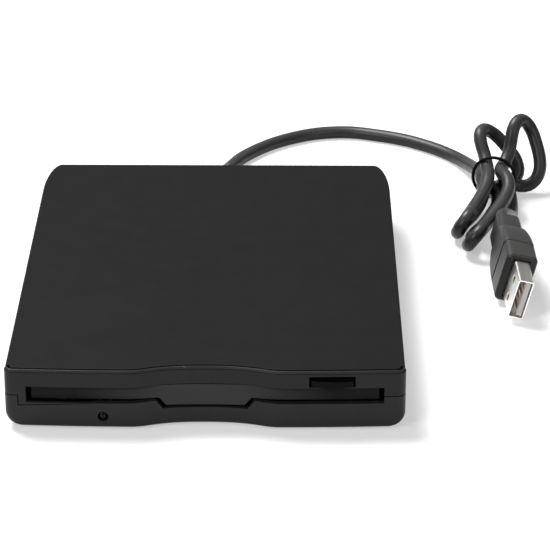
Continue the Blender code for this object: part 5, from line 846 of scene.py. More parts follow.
def front_bezel(material):
    """The bezel ends in a thin wedge at the slot's left; the base frames the rest of the slot."""
    bezel = outline_block("front_bezel_wall", strip_outline(0.0, BEZEL_WALL), (RIM_BOTTOM, BEZEL_TOP))
    corner_x = HALF_WIDTH - FRONT_CORNER_RADIUS
    corner_y = front_at(corner_x) + FRONT_CORNER_RADIUS

    def outer_top(edge):
        at = midpoint(edge)
        if not close_to(at.z, BEZEL_TOP) or close_to(at.y, FRONT_Y + BEZEL_REACH):
            return False
        if abs(at.x) < corner_x:
            return at.y < front_at(at.x) + BEZEL_WALL / 2
        if at.y > corner_y:
            return abs(at.x) > HALF_WIDTH - BEZEL_WALL / 2
        away = math.hypot(abs(at.x) - corner_x, at.y - corner_y)
        return away > FRONT_CORNER_RADIUS - BEZEL_WALL / 2

    work_on(bezel)
    pick(bezel, "EDGE", outer_top)
    bpy.ops.mesh.bevel(offset=BEZEL_CHAMFER, segments=1, affect="EDGES")
    crease_z = BEZEL_TOP - BEZEL_CHAMFER
    pick(bezel, "EDGE", lambda edge: all(close_to(vertex.co.z, crease_z) for vertex in edge.verts))
    bpy.ops.mesh.bevel(offset=CREASE_HALF_WIDTH, segments=2, affect="EDGES")
    pick(bezel, "VERT", lambda vertex: abs(vertex.co.z - crease_z) < CREASE_HALF_WIDTH / 2)
    bpy.ops.transform.shrink_fatten(value=-CREASE_DEPTH)
    deselect()
    seam = PARTING_Z + SEAM_GAP / 2
    high = CASE_TOP + OVERRUN
    face_outline = [
        (-HALF_WIDTH - OVERRUN, high),
        (-HALF_WIDTH - OVERRUN, seam),
        (-RIM_X, seam),
        (-RIM_X, RIM_BOTTOM),
        (WEDGE_END_X, SLOT_BOTTOM - WEDGE_TIP),
        (WEDGE_END_X, SLOT_BOTTOM + GAP),
        (SLOT_HALF_WIDTH - GAP, SLOT_BOTTOM + GAP),
        (SLOT_HALF_WIDTH - GAP, seam),
        (HALF_WIDTH + OVERRUN, seam),
        (HALF_WIDTH + OVERRUN, high),
    ]
    change(bezel, "INTERSECT", outline_block("face", face_outline, FRONT_CUT, "Y"))
    slot = block("slot", around(0, SLOT_HALF_WIDTH), FRONT_CUT, (SLOT_BOTTOM, SLOT_TOP))
    pocket_across = around(BUTTON_X, BUTTON_WIDTH / 2 + POCKET_SIDE_GAP)
    pocket = block("pocket", pocket_across, FRONT_CUT, (POCKET_BOTTOM, POCKET_TOP))
    cut(bezel, slot, pocket)

    def inner_lip(edge):
        at = midpoint(edge)
        behind = at.y > front_at(at.x) + BEZEL_WALL - MERGE_DISTANCE
        return close_to(at.z, SLOT_TOP) and behind and abs(at.x) < RECESS_LAST_SHARE * RECESS_HALF_WIDTH

    work_on(bezel)
    pick(bezel, "EDGE", inner_lip)
    bpy.ops.mesh.bevel(offset=LIP_CHAMFER, segments=1, affect="EDGES")
    deselect()
    rear_rim = FRONT_Y + BEZEL_REACH - MERGE_DISTANCE
    soften(
        bezel,
        BEZEL_EDGE_ROUND,
        2,
        lambda at: abs(at.z - crease_z) > 2 * CREASE_HALF_WIDTH and at.y < rear_rim,
    )
    for side in (-1, 1):
        inner = FLAP_HALF_WIDTH + EAR_GAP
        across = between(side, inner, inner + EAR_WIDTH)
        depth = (FRONT_Y + bow_at(inner) + BEZEL_WALL / 2, FLAP_AXIS_Y + EAR_HALF_DEPTH)
        ear = block("ear", across, depth, (FLAP_AXIS_Z - EAR_FOOT, FLAP_AXIS_Z + EAR_RISE))
        add(bezel, ear)
        pin = (FLAP_AXIS_Y, FLAP_AXIS_Z)
        cut(bezel, rod("pin", "X", pin, FLAP_PIN_RADIUS + RUNNING_GAP, past(across), SMALL_SIDES))
    return finish_piece(bezel, material, "drive", "bezel_plastic", "front_bezel")


def flap_front(x):
    inset = FLAP_SETBACK + (RECESS_DEPTH - FLAP_SETBACK) * recess_share(x)
    return FRONT_Y + bow_at(x) + inset


def slot_flap(material):
    xs = front_xs(FLAP_HALF_WIDTH)
    xs = [-x for x in reversed(xs[1:])] + xs
    front = [(x, flap_front(x)) for x in xs]
    back = [(x, y + FLAP_WALL) for x, y in reversed(front)]
    flap = outline_block("slot_flap_plate", front + back, (FLAP_TAB_BOTTOM, FLAP_TOP))
    low = FLAP_TAB_BOTTOM - OVERRUN
    for side in (-1, 1):
        tab_top = side * (NOTCH_TOP_HALF - FLAP_TAB_GAP)
        tab_low = side * (NOTCH_BOTTOM_HALF - FLAP_TAB_GAP)
        outer = side * (FLAP_HALF_WIDTH + OVERRUN)
        outline = [
            (tab_low, low),
            (tab_low, FLAP_TAB_BOTTOM),
            (tab_top, FLAP_SIDE_BOTTOM),
            (outer, FLAP_SIDE_BOTTOM),
            (outer, low),
        ]
        cut(flap, outline_block("tab_side", outline, FRONT_CUT, "Y"))
    soften(flap, FLAP_EDGE_ROUND, 2)
    for side in (-1, 1):
        inner = FLAP_HALF_WIDTH - FLAP_LUG_WIDTH
        depth = (flap_front(inner) + FLAP_WALL / 4, FLAP_AXIS_Y + FLAP_LUG_HALF_DEPTH)
        rise = (FLAP_TOP - FLAP_WALL, FLAP_AXIS_Z + FLAP_LUG_RISE)
        add(flap, block("lug", between(side, inner, FLAP_HALF_WIDTH), depth, rise))
        span = between(side, inner - FLAP_PIN_LENGTH, FLAP_HALF_WIDTH + FLAP_PIN_LENGTH)
        pin = (FLAP_AXIS_Y, FLAP_AXIS_Z)
        add(flap, rod("pin", "X", pin, FLAP_PIN_RADIUS, span, SMALL_SIDES))
    return finish_piece(flap, material, "flap", "flap_plastic", "slot_flap")


def eject_button(material):
    half = BUTTON_WIDTH / 2
    back = FRONT_Y + BUTTON_BACK
    outline = []
    for step in range(BUTTON_COLUMNS + 1):
        share = 2 * step / BUTTON_COLUMNS - 1
        y = FRONT_Y - BUTTON_PROUD + BUTTON_BULGE * share**2
        outline.append((BUTTON_X + half * share, y))
    outline += [(BUTTON_X + half, back), (BUTTON_X - half, back)]
    button = outline_block("eject_button_cap", outline, (BUTTON_BOTTOM, BUTTON_TOP))
    soften(button, BUTTON_EDGE_ROUND, 3, lambda at: at.y < back - GAP)
    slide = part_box("eject_slide")
    stem_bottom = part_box("eject_button")[0][2]
    socket_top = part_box("eject_button")[1][2]
    stem_low = max(stem_bottom, slide[1][2] - SOCKET_WALL - 4 * GAP)
    stem_back = FRONT_Y + STEM_BACK
    across = around(BUTTON_X, STEM_HALF_WIDTH)
    open_flap = FLAP_AXIS_Z + flap_front(across[0]) + FLAP_WALL - FLAP_AXIS_Y
    stem_rise = (max(stem_low, open_flap + GAP), BUTTON_TOP)
    add(button, block("stem", across, (back - BUTTON_BACK / 2, stem_back), stem_rise))
    socket_front = stem_back - SOCKET_WEB
    socket_span = (socket_front, socket_front + SOCKET_LENGTH)
    socket_across = around(BUTTON_X, SOCKET_HALF_WIDTH)
    add(button, block("socket", socket_across, socket_span, (stem_low, socket_top)))
    mouth = (socket_front + SOCKET_WEB, socket_span[1] + OVERRUN)
    mouth_height = (stem_low + SOCKET_WALL, socket_top - SOCKET_WALL)
    cut(button, block("mouth", past(across, GAP), mouth, mouth_height))
    return finish_piece(button, material, "slide", "button_plastic", "eject_button")


def indicator_lens(material):
    front = front_at(LED_X) + LENS_SETBACK
    profile = []
    for step in range(1, CORNER_STEPS + 1):
        angle = math.pi / 2 * step / CORNER_STEPS
        profile.append((LENS_RADIUS * math.sin(angle), front + LENS_DOME * (1 - math.cos(angle))))
    profile.append((LENS_RADIUS, LENS_LENGTH_END))
    lens = spun("indicator_lens_dome", "Y", (LED_X, LED_Z), profile, SMALL_SIDES)
    return finish_piece(lens, material, "drive", "indicator_lens", "indicator_lens")


def feet(material):
    """One rubber foot, rounded and slightly dished, and its three copies."""
    places = both_sides(FOOT_PLACES)
    high = CASE_BOTTOM + FOOT_SEAT_DEPTH - GAP
    first = rod("rubber_foot_1", "Z", places[0], FOOT_RADIUS, (0, high), ROUND_SIDES)
    soften(first, FOOT_EDGE_ROUND, 3, lambda at: close_to(at.z, 0))
    work_on(first)
    pick(first, "FACE", lambda face: face.normal.z < -FACING and len(face.verts) > 4)
    bpy.ops.mesh.inset(thickness=FOOT_RING_INSET, depth=0)
    bpy.ops.mesh.inset(thickness=FOOT_EDGE_ROUND, depth=-FOOT_DISH)
    deselect()
    for number, foot in enumerate(copies(first, "rubber_foot", moves_from_first(places)), 1):
        finish_piece(foot, material, "drive", "rubber", f"foot_{number}")


def case_screws(material):
    """One cross-head screw and its three copies, heads down in the base's sinks."""
    places = both_sides(CASE_SCREW_PLACES)
    head_top = CASE_BOTTOM + SCREW_SINK - GAP
    head_low = head_top - SCREW_HEAD_HEIGHT
    first = rod("case_screw_head_1", "Z", places[0], SCREW_HEAD_RADIUS, (head_low, head_top))
    soften(first, SCREW_EDGE_ROUND, 3, lambda at: close_to(at.z, head_low))
    shank = (head_top - GAP, SCREW_TOP)
    add(first, rod("shank", "Z", places[0], SCREW_SHANK_RADIUS, shank, SMALL_SIDES))
    x, y = places[0]
    depth = (head_low - OVERRUN, head_low + CROSS_DEPTH)
    long_way, thin_way = CROSS_LENGTH / 2, CROSS_WIDTH / 2
    cut(first, block("cross", around(x, long_way), around(y, thin_way), depth))
    cut(first, block("cross", around(x, thin_way), around(y, long_way), depth))
    for number, screw in enumerate(copies(first, "case_screw_head", moves_from_first(places)), 1):
        finish_piece(screw, material, "drive", "bright_steel", f"case_screw_{number}")


# Strain relief, cord, tie and plug


def ribbed(start, end, start_radius, end_radius, ribs, depth):
    """Rings of a tapered sleeve with soft grooves across it."""
    rings = []
    count = ribs * 4
    for step in range(count + 1):
        share = step / count
        radius = start_radius + (end_radius - start_radius) * share
        if step % 4 == 2:
            radius -= depth
        elif step % 2 == 1:
            radius -= depth / 2
        rings.append((radius, start + (end - start) * share))
    return rings


def strain_relief(material):
    inner = REAR_Y - CASE_WALL - GAP - GLAND_FLANGE
    collar = REAR_Y + GAP
    sleeve = collar + GLAND_FLANGE
    tip = REAR_Y + GLAND_LENGTH
    edge = GLAND_FLANGE_RADIUS - GAP
    profile = [
        (GLAND_FLANGE_RADIUS, inner),
        (GLAND_FLANGE_RADIUS, inner + GLAND_FLANGE),
        (GLAND_NECK_RADIUS, inner + GLAND_FLANGE + HAIR_GAP),
        (GLAND_NECK_RADIUS, collar),
        (edge, collar + HAIR_GAP),
        (GLAND_FLANGE_RADIUS, collar + GAP),
        (GLAND_FLANGE_RADIUS, sleeve - GAP),
        (edge, sleeve),
    ]
    neck = GLAND_NECK_RADIUS
    profile += ribbed(sleeve + GAP, tip - GAP, neck, GLAND_TIP_RADIUS, GLAND_RIBS, GLAND_RIB_DEPTH)
    profile.append((GLAND_TIP_RADIUS - RUNNING_GAP, tip))
    relief = spun("strain_relief_sleeve", "Y", (0, CORD_Z), profile)
    return finish_piece(relief, material, "drive", "cord_jacket", "strain_relief")


def travelled(line):
    """How far along a line each of its points lies."""
    return np.concatenate(([0.0], np.cumsum(np.linalg.norm(np.diff(line, axis=0), axis=1))))


def smooth_route(points, step):
    """Points at even steps along a smooth curve through the route's own points."""
    route = [np.array(point, dtype=float) for point in points]
    padded = [2 * route[0] - route[1], *route, 2 * route[-1] - route[-2]]
    dense = []
    for before, start, end, after in zip(padded, padded[1:], padded[2:], padded[3:]):
        for t in np.linspace(0, 1, ROUTE_SAMPLES, endpoint=False):
            bend = 2 * before - 5 * start + 4 * end - after
            curl = 3 * start - before - 3 * end + after
            dense.append((2 * start + (end - before) * t + bend * t**2 + curl * t**3) / 2)
    dense.append(route[-1])
    line = np.array(dense)
    lengths = travelled(line)
    count = max(2, int(round(lengths[-1] / step)) + 1)
    even = np.linspace(0, lengths[-1], count)
    return np.stack([np.interp(even, lengths, line[:, axis]) for axis in range(3)], axis=1)


def cord(material):
    """The whole cord as one curve, from the strain relief through the hank to the plug."""
    start = np.array((0.0, REAR_Y + GLAND_LENGTH, CORD_Z))
    frame_of_plug = plug_frame()
    ahead = np.array(frame_of_plug.to_3x3() @ Vector((0.0, -1.0, 0.0)))
    sleeve_end = SHELL_EXPOSED + GRIP_LENGTH + GRIP_SLEEVE_LENGTH
    end = np.array(frame_of_plug @ Vector((0.0, sleeve_end, 0.0)))
    route = [start, start + np.array((0.0, CORD_STRAIGHT, 0.0)), *RUN_POINTS, *HANK_POINTS, *TAIL_POINTS]
    route += [end - CORD_STRAIGHT * ahead, end]
    line = smooth_route(route, CORD_STEP)
    curve = bpy.data.curves.new("cord_line", "CURVE")
    curve.dimensions = "3D"
    curve.bevel_depth = CORD_RADIUS
    curve.bevel_resolution = CORD_SIDE_STEPS
    curve.use_fill_caps = True
    spline = curve.splines.new("POLY")
    spline.points.add(len(line) - 1)
    for point, place in zip(spline.points, line):
        point.co = (*place, 1.0)
    spline.use_smooth = True
    piece = bpy.data.objects.new("cord_line", curve)
    link(piece)
    curve.materials.append(material)
    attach(piece, "drive")
    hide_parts("cord_run", "cord_hank", "cord_tail")
    return piece, float(travelled(line)[-1])


def hank_tie(material):
    """A thin tie of coated wire round the five strands."""
    deselect()
    radius = WAIST_RADIUS + CORD_RADIUS + GAP + TIE_WIRE_RADIUS
    bpy.ops.mesh.primitive_torus_add(
        location=TIE_AT,
        rotation=(math.pi / 2, 0, TIE_TURN),
        major_radius=radius,
        minor_radius=TIE_WIRE_RADIUS,
        major_segments=2 * ROUND_SIDES,
        minor_segments=TIE_SIDES,
    )
    tie = name_new("cord_tie_wire")
    place_for_good(tie)
    return finish_piece(tie, material, "drive", "tie_wire", "cord_tie")


def plug_frame():
    """The plug lies on the edge of its grip, its nose dipped and its top leaning to +X."""
    inner_width = GRIP_WIDTH / 2 - GRIP_ROUND
    inner_height = GRIP_HEIGHT / 2 - GRIP_ROUND
    below = inner_width * math.cos(PLUG_ROLL) + inner_height * math.sin(PLUG_ROLL) + GRIP_ROUND
    lift = below * math.cos(PLUG_DIP) - SHELL_EXPOSED * math.sin(PLUG_DIP) + PLUG_REST
    turn = Matrix.Rotation(PLUG_TURN, 4, "Z") @ Matrix.Rotation(PLUG_DIP, 4, "X")
    turn = turn @ Matrix.Rotation(PLUG_ROLL, 4, "Y")
    return Matrix.Translation((PLUG_X, PLUG_Y, lift)) @ turn


def into_plug_frame(piece):
    piece.matrix_world = plug_frame()
    place_for_good(piece)


def plug_grip(material):
    """The moulded grip: a block cut into sections, each resized, with its long edges rounded."""
    front = SHELL_EXPOSED
    rear = SHELL_EXPOSED + GRIP_LENGTH
    half_height, half_width = GRIP_HEIGHT / 2, GRIP_WIDTH / 2
    grip = block("plug_grip_body", around(0, half_height), (front, rear), around(0, half_width))
    work_on(grip)
    for row in GRIP_SHARES[1:-1]:
        cut_level((0, front + row[0] * GRIP_LENGTH, 0), (0, 1, 0))
    for along, width, height in GRIP_SHARES:
        y = front + along * GRIP_LENGTH
        pick(grip, "VERT", lambda vertex, level=y: close_to(vertex.co.y, level))
        bpy.ops.transform.resize(value=(height, 1, width), center_override=(0, y, 0))

    def along_it(edge):
        one, other = (vertex.co for vertex in edge.verts)
        return abs(one.y - other.y) > RUNNING_GAP and one.x * other.x > 0 and one.z * other.z > 0

    pick(grip, "EDGE", along_it)
    bpy.ops.mesh.bevel(offset=GRIP_ROUND, segments=5, affect="EDGES")
    deselect()
    soften(grip, GRIP_EDGE_ROUND, 2)
    sleeve = [(GRIP_SLEEVE_RADIUS, rear - GRIP_POCKET)]
    sleeve += ribbed(
        rear + GAP,
        rear + GRIP_SLEEVE_LENGTH - GAP,
        GRIP_SLEEVE_RADIUS,
        GRIP_SLEEVE_TIP,
        GRIP_SLEEVE_RIBS,
        GRIP_RIB_DEPTH,
    )
    sleeve.append((GRIP_SLEEVE_TIP - RUNNING_GAP, rear + GRIP_SLEEVE_LENGTH))
    add(grip, spun("sleeve", "Y", (0, 0), sleeve))
    pocket_height = around(0, SHELL_HEIGHT / 2 + GAP)
    pocket_width = around(0, SHELL_WIDTH / 2 + GAP)
    cut(grip, block("pocket", pocket_height, (front - OVERRUN, front + GRIP_POCKET), pocket_width))
    into_plug_frame(grip)
    return finish_piece(grip, material, "drive", "cord_jacket", "plug_grip")


def plug_shell(material):
    """The folded metal shell, with two windows through each broad face and a seam in one."""
    length = SHELL_EXPOSED + SHELL_SEATED
    shell = block("plug_shell_case", around(0, SHELL_HEIGHT / 2), (0, length), around(0, SHELL_WIDTH / 2))
    work_on(shell)

    def long_edge(edge):
        return abs(edge.verts[0].co.y - edge.verts[1].co.y) > SHELL_EXPOSED

    pick(shell, "EDGE", long_edge)
    bpy.ops.mesh.bevel(offset=SHELL_ROUND, segments=4, affect="EDGES")
    pick(shell, "FACE", lambda face: abs(face.normal.y) > FACING)
    bpy.ops.mesh.inset(thickness=SHELL_SHEET, depth=0)
    bpy.ops.mesh.bridge_edge_loops()
    deselect()
    face_out(shell)
    hole_span = (SHELL_HOLE_FRONT, SHELL_HOLE_FRONT + SHELL_HOLE_LENGTH)
    for side in (-1, 1):
        across = around(side * SHELL_HOLE_OUT, SHELL_HOLE_WIDTH / 2)
        cut(shell, block("window", around(0, SHELL_HEIGHT), hole_span, across))
    seam_depth = (-SHELL_HEIGHT / 2 - OVERRUN, SHELL_SEAM_DEPTH - SHELL_HEIGHT / 2)
    cut(shell, block("seam", seam_depth, past((0, length)), around(0, SHELL_SEAM_WIDTH / 2)))
    into_plug_frame(shell)
    return finish_piece(shell, material, "drive", "plug_shell", "plug_shell")


def plug_tongue(insulator, gold):
    """The insulator against one wall of the shell, and its four contacts."""
    outer = SHELL_HEIGHT / 2 - SHELL_SHEET - GAP
    inner = outer - TONGUE_THICKNESS
    length = SHELL_EXPOSED + SHELL_SEATED - GAP
    half_width = SHELL_WIDTH / 2 - SHELL_SHEET - TONGUE_SIDE_GAP
    tongue = block("plug_insulator", (inner, outer), (TONGUE_SETBACK, length), around(0, half_width))
    soften(tongue, RUNNING_GAP, 2)
    first_y = TONGUE_SETBACK + CONTACT_SETBACK
    across = around(CONTACT_PLACES[0], CONTACT_WIDTH / 2)
    contact_height = (inner - CONTACT_THICKNESS, inner - HAIR_GAP)
    contact = block("plug_contact_1", contact_height, (first_y, first_y + CONTACT_LENGTH), across)
    soften(contact, CONTACT_THICKNESS / 3, 2, lambda at: close_to(at.x, inner - CONTACT_THICKNESS))
    contacts = copies(contact, "plug_contact", [(0, 0, z - CONTACT_PLACES[0]) for z in CONTACT_PLACES[1:]])
    for piece in contacts:
        into_plug_frame(piece)
        finish_piece(piece, gold, "drive", "plug_tongue")
    into_plug_frame(tongue)
    finish_piece(tongue, insulator, "drive", "plug_tongue", "plug_tongue")
    return [tongue, *contacts]


# Shader groups that several materials share

# The grain's slow waves: their scale and height as shares of the fine grain's
SLOW_SCALE_SHARE = 0.04
SLOW_HEIGHT_SHARE = 0.35
# Patches and hairline marks left by handling, and patches of dust and of painted light: noise scales per
# metre
HANDLED_PER_METRE = 38.0
HAIRS_PER_METRE = 90.0
HAIR_TURN = math.radians(24)
HAIR_STRETCH = (1.0, 36.0, 6.0)
DUST_AND_LIGHT_PATCHES_PER_METRE = 25.0
# Where a noise passes from bare to covered
PATCH_EDGE = (0.3, 0.7)
HAIR_EDGE = (0.62, 0.7)
SPECK_EDGE = (0.68, 0.78)
# How far up a surface faces where specks lie, and where the painted light on upward faces lies
SPECK_SLOPE = (0.5, 1.0)
PAINTED_LIGHT_SLOPE = (-0.3, 0.9)
PAINTED_LIGHT_PATCH_SHARE = 0.6


def new_group(name, inputs, outputs):
    group = bpy.data.node_groups.new(name, "ShaderNodeTree")
    for label, kind, value in inputs:
        socket = group.interface.new_socket(label, in_out="INPUT", socket_type=kind)
        if value is not None:
            socket.default_value = value
    for label, kind in outputs:
        group.interface.new_socket(label, in_out="OUTPUT", socket_type=kind)
    start = group.nodes.new("NodeGroupInput")
    end = group.nodes.new("NodeGroupOutput")
    return group, start, end


def feed(tree, socket, value):
    """Give a socket a number, a colour or another node's output."""
    if isinstance(value, bpy.types.NodeSocket):
        tree.links.new(value, socket)
    elif isinstance(value, tuple):
        socket.default_value = (*value, 1.0)
    else:
        socket.default_value = value


def math_node(tree, operation, first, second):
    node = tree.nodes.new("ShaderNodeMath")
    node.operation = operation
    for socket, value in zip(node.inputs, (first, second)):
        feed(tree, socket, value)
    return node.outputs[0]


def noise_node(tree, vector, scale, detail, roughness=0.5):
    node = tree.nodes.new("ShaderNodeTexNoise")
    node.inputs["Detail"].default_value = detail
    node.inputs["Roughness"].default_value = roughness
    feed(tree, node.inputs["Vector"], vector)
    feed(tree, node.inputs["Scale"], scale)
    return node.outputs["Fac"]


def ramp_between(tree, value, low, high, to_low, to_high):
    node = tree.nodes.new("ShaderNodeMapRange")
    tree.links.new(value, node.inputs["Value"])
    for label, number in zip(("From Min", "From Max", "To Min", "To Max"), (low, high, to_low, to_high)):
        feed(tree, node.inputs[label], number)
    return node.outputs["Result"]


def mixed_colour(tree, mask, first, second):
    node = tree.nodes.new("ShaderNodeMix")
    node.data_type = "RGBA"
    tree.links.new(mask, node.inputs["Factor"])
    for label, value in (("A", first), ("B", second)):
        socket = [s for s in node.inputs if s.name == label and s.type == "RGBA"][0]
        feed(tree, socket, value)
    return [s for s in node.outputs if s.type == "RGBA"][0]


def grain_group():
    """Fine moulded or cast grain: a height for the bump and a tone for the colour."""
    inputs = (("Vector", "NodeSocketVector", None), ("Grains per metre", "NodeSocketFloat", 4000.0))
    outputs = (("Height", "NodeSocketFloat"), ("Tone", "NodeSocketFloat"))
    group, start, end = new_group("fine grain", inputs, outputs)
    fine = noise_node(group, start.outputs["Vector"], start.outputs["Grains per metre"], 2.0)
    slow_scale = math_node(group, "MULTIPLY", start.outputs["Grains per metre"], SLOW_SCALE_SHARE)
    slow = noise_node(group, start.outputs["Vector"], slow_scale, 3.0)
    waves = math_node(group, "MULTIPLY", slow, SLOW_HEIGHT_SHARE)
    height = math_node(group, "ADD", fine, waves)
    group.links.new(height, end.inputs["Height"])
    group.links.new(slow, end.inputs["Tone"])
    return group


def handling_group():
    """Where hands and cloths have passed: soft patches and hairline marks in the roughness."""
    inputs = (
        ("Vector", "NodeSocketVector", None),
        ("Smooth", "NodeSocketFloat", 0.35),
        ("Rough", "NodeSocketFloat", 0.5),
        ("Marks", "NodeSocketFloat", 0.05),
    )
    group, start, end = new_group("handling marks", inputs, (("Roughness", "NodeSocketFloat"),))
    vector = start.outputs["Vector"]
    patches = noise_node(group, vector, HANDLED_PER_METRE, 4.0, 0.6)
    smooth = start.outputs["Smooth"]
    base = ramp_between(group, patches, *PATCH_EDGE, smooth, start.outputs["Rough"])
    stretch = group.nodes.new("ShaderNodeMapping")
    stretch.inputs["Rotation"].default_value = (0.0, 0.0, HAIR_TURN)
    stretch.inputs["Scale"].default_value = HAIR_STRETCH
    group.links.new(vector, stretch.inputs["Vector"])
    hair = noise_node(group, stretch.outputs["Vector"], HAIRS_PER_METRE, 3.0)
    lines = ramp_between(group, hair, *HAIR_EDGE, 0.0, start.outputs["Marks"])
    group.links.new(math_node(group, "ADD", base, lines), end.inputs["Roughness"])
    return group


def dust_and_light_group():
    """Dust that settles on what faces up, as specks, and painted light as a paler even layer on what faces
    up: a mask.
    """
    inputs = (
        ("Vector", "NodeSocketVector", None),
        ("Specks per metre", "NodeSocketFloat", 900.0),
        ("Amount", "NodeSocketFloat", 0.1),
        ("Film", "NodeSocketFloat", 0.0),
    )
    group, start, end = new_group("settled dust and painted light", inputs, (("Mask", "NodeSocketFloat"),))
    geometry = group.nodes.new("ShaderNodeNewGeometry")
    parts = group.nodes.new("ShaderNodeSeparateXYZ")
    group.links.new(geometry.outputs["Normal"], parts.inputs["Vector"])
    up = ramp_between(group, parts.outputs["Z"], *SPECK_SLOPE, 0.0, 1.0)
    specks = noise_node(group, start.outputs["Vector"], start.outputs["Specks per metre"], 2.0)
    patches = noise_node(group, start.outputs["Vector"], DUST_AND_LIGHT_PATCHES_PER_METRE, 2.0)
    sparse = ramp_between(group, specks, *SPECK_EDGE, 0.0, start.outputs["Amount"])
    thin = math_node(group, "MULTIPLY", sparse, patches)
    settled = math_node(group, "MULTIPLY", thin, up)
    # Painted light: paler the more a face looks up, broken into patches
    even = ramp_between(group, parts.outputs["Z"], *PAINTED_LIGHT_SLOPE, 0.0, start.outputs["Film"])
    light_patches = ramp_between(group, patches, *PATCH_EDGE, PAINTED_LIGHT_PATCH_SHARE, 1.0)
    film = math_node(group, "MULTIPLY", even, light_patches)
    group.links.new(math_node(group, "MAXIMUM", settled, film), end.inputs["Mask"])
    return group


GRAIN = grain_group()
HANDLING = handling_group()
DUST_AND_PAINTED_LIGHT = dust_and_light_group()


# Materials


class Finish:
    """A material under way: its shader, and the object coordinates that its patterns read."""

    def __init__(self, name, colour, metallic=0.0, specular=0.5):
        self.material = bpy.data.materials.new(name)
        self.material.use_nodes = True
        self.tree = self.material.node_tree
        self.shader = self.tree.nodes["Principled BSDF"]
        self.shader.inputs["Base Color"].default_value = (*colour, 1.0)
        self.shader.inputs["Metallic"].default_value = metallic
        self.shader.inputs["Specular IOR Level"].default_value = specular
        coordinates = self.tree.nodes.new("ShaderNodeTexCoord")
        self.vector = coordinates.outputs["Object"]
        self.colour = colour

    def pattern(self, kind, **values):
        node = self.tree.nodes.new(kind)
        self.tree.links.new(self.vector, node.inputs["Vector"])
        for label, value in values.items():
            node.inputs[label].default_value = value
        return node

    def stretched(self, scale, turn=(0.0, 0.0, 0.0)):
        mapping = self.tree.nodes.new("ShaderNodeMapping")
        mapping.inputs["Scale"].default_value = scale
        mapping.inputs["Rotation"].default_value = turn
        self.tree.links.new(self.vector, mapping.inputs["Vector"])
        return mapping.outputs["Vector"]

    def group(self, group, vector=None, **values):
        node = self.tree.nodes.new("ShaderNodeGroup")
        node.node_tree = group
        self.tree.links.new(vector or self.vector, node.inputs["Vector"])
        for label, value in values.items():
            node.inputs[label.replace("_", " ")].default_value = value
        return node.outputs

    def mixed(self, mask, first, second):
        return mixed_colour(self.tree, mask, first, second)

    def toned(self, mask, spread):
        """The colour a little darker and lighter over the surface."""
        darker = tuple(value * (1 - spread) for value in self.colour)
        lighter = tuple(value * (1 + spread) for value in self.colour)
        return self.mixed(mask, darker, lighter)

    def use(self, colour=None, roughness=None, height=None, depth=0.0):
        if colour is not None:
            self.tree.links.new(colour, self.shader.inputs["Base Color"])
        if roughness is not None:
            self.tree.links.new(roughness, self.shader.inputs["Roughness"])
        if height is not None:
            bump = self.tree.nodes.new("ShaderNodeBump")
            bump.inputs["Distance"].default_value = depth
            self.tree.links.new(height, bump.inputs["Height"])
            self.tree.links.new(bump.outputs["Normal"], self.shader.inputs["Normal"])
        return self.material


# Grey of the dust specks, and of the painted light on upward faces
DUST_AND_LIGHT_GREY = (0.16, 0.16, 0.155)
# The cover's black is darker than the case's: painted shade, so that the top, lit more strongly from
# overhead, reads as dark as the front.
COVER_PAINTED_SHADE_BLACK = (0.0115, 0.0115, 0.0118)
CASE_BLACK = (0.0185, 0.0185, 0.0188)
# The flap's black is darker than the case's: painted shade for its set-back sides. Its middle is mixed to
# a paler black: painted light.
FLAP_PAINTED_SHADE_BLACK = (0.009, 0.009, 0.0092)
FLAP_PAINTED_LIGHT_BLACK = (0.056, 0.056, 0.0565)
PAINTED_LIGHT_HALF_WIDTH = 10.0 * MM
PAINTED_LIGHT_END_X = 34.0 * MM
PLASTIC_GRAINS = 4000.0
PLASTIC_GRAIN_DEPTH = 0.004 * MM
PLASTIC_TONE = 0.12
CORD_GRAINS = 1600.0
CORD_GRAIN_DEPTH = 0.01 * MM
METAL_GRAINS = 900.0
METAL_GRAIN_DEPTH = 0.003 * MM
BRONZE_GRAIN_DEPTH = 0.02 * MM
NICKEL_GRAIN_DEPTH = 0.002 * MM
TRACK_HEIGHT = 0.02 * MM
PATCHES_PER_METRE = 160.0
TRACK_EDGE = (0.62, 0.66)
PATCH_OF_TRACKS = (0.5, 0.54)
PAD_RIM = (0.13, 0.16)
TRACK_GREEN = (0.03, 0.26, 0.09)
SOLDERED_PAD = (0.6, 0.55, 0.42)
CONDUCTOR_DARK = (0.42, 0.4, 0.36)
CONDUCTOR_PALE = (0.68, 0.66, 0.6)
BLOOM_EDGE = (0.45, 0.75)
BLOOM_SHARE = 0.12
BLOOM_GREY = (0.09, 0.09, 0.09)
WIRE_HEIGHT = 0.05 * MM
CONDUCTOR_HEIGHT = 0.04 * MM
LENS_GRAIN_DEPTH = 0.001 * MM
RUBBER_GRAIN_DEPTH = 0.02 * MM


def moulded_plastic(
    name,
    colour,
    smooth,
    rough,
    specular=0.5,
    grains=PLASTIC_GRAINS,
    depth=PLASTIC_GRAIN_DEPTH,
    dust=0.0,
    film=0.0,
):
    """Moulded plastic: fine grain, handled patches and, where it shows, a little dust; a film above zero
    paints light on upward faces.
    """
    finish = Finish(name, colour, specular=specular)
    grain = finish.group(GRAIN, Grains_per_metre=grains)
    handling = finish.group(HANDLING, Smooth=smooth, Rough=rough)
    tone = finish.toned(grain["Tone"], PLASTIC_TONE)
    if dust:
        # The mask mixes in real dust specks and the painted light on upward faces
        mask = finish.group(DUST_AND_PAINTED_LIGHT, Amount=dust, Film=film)["Mask"]
        tone = finish.mixed(mask, tone, DUST_AND_LIGHT_GREY)
    return finish.use(tone, handling["Roughness"], grain["Height"], depth)


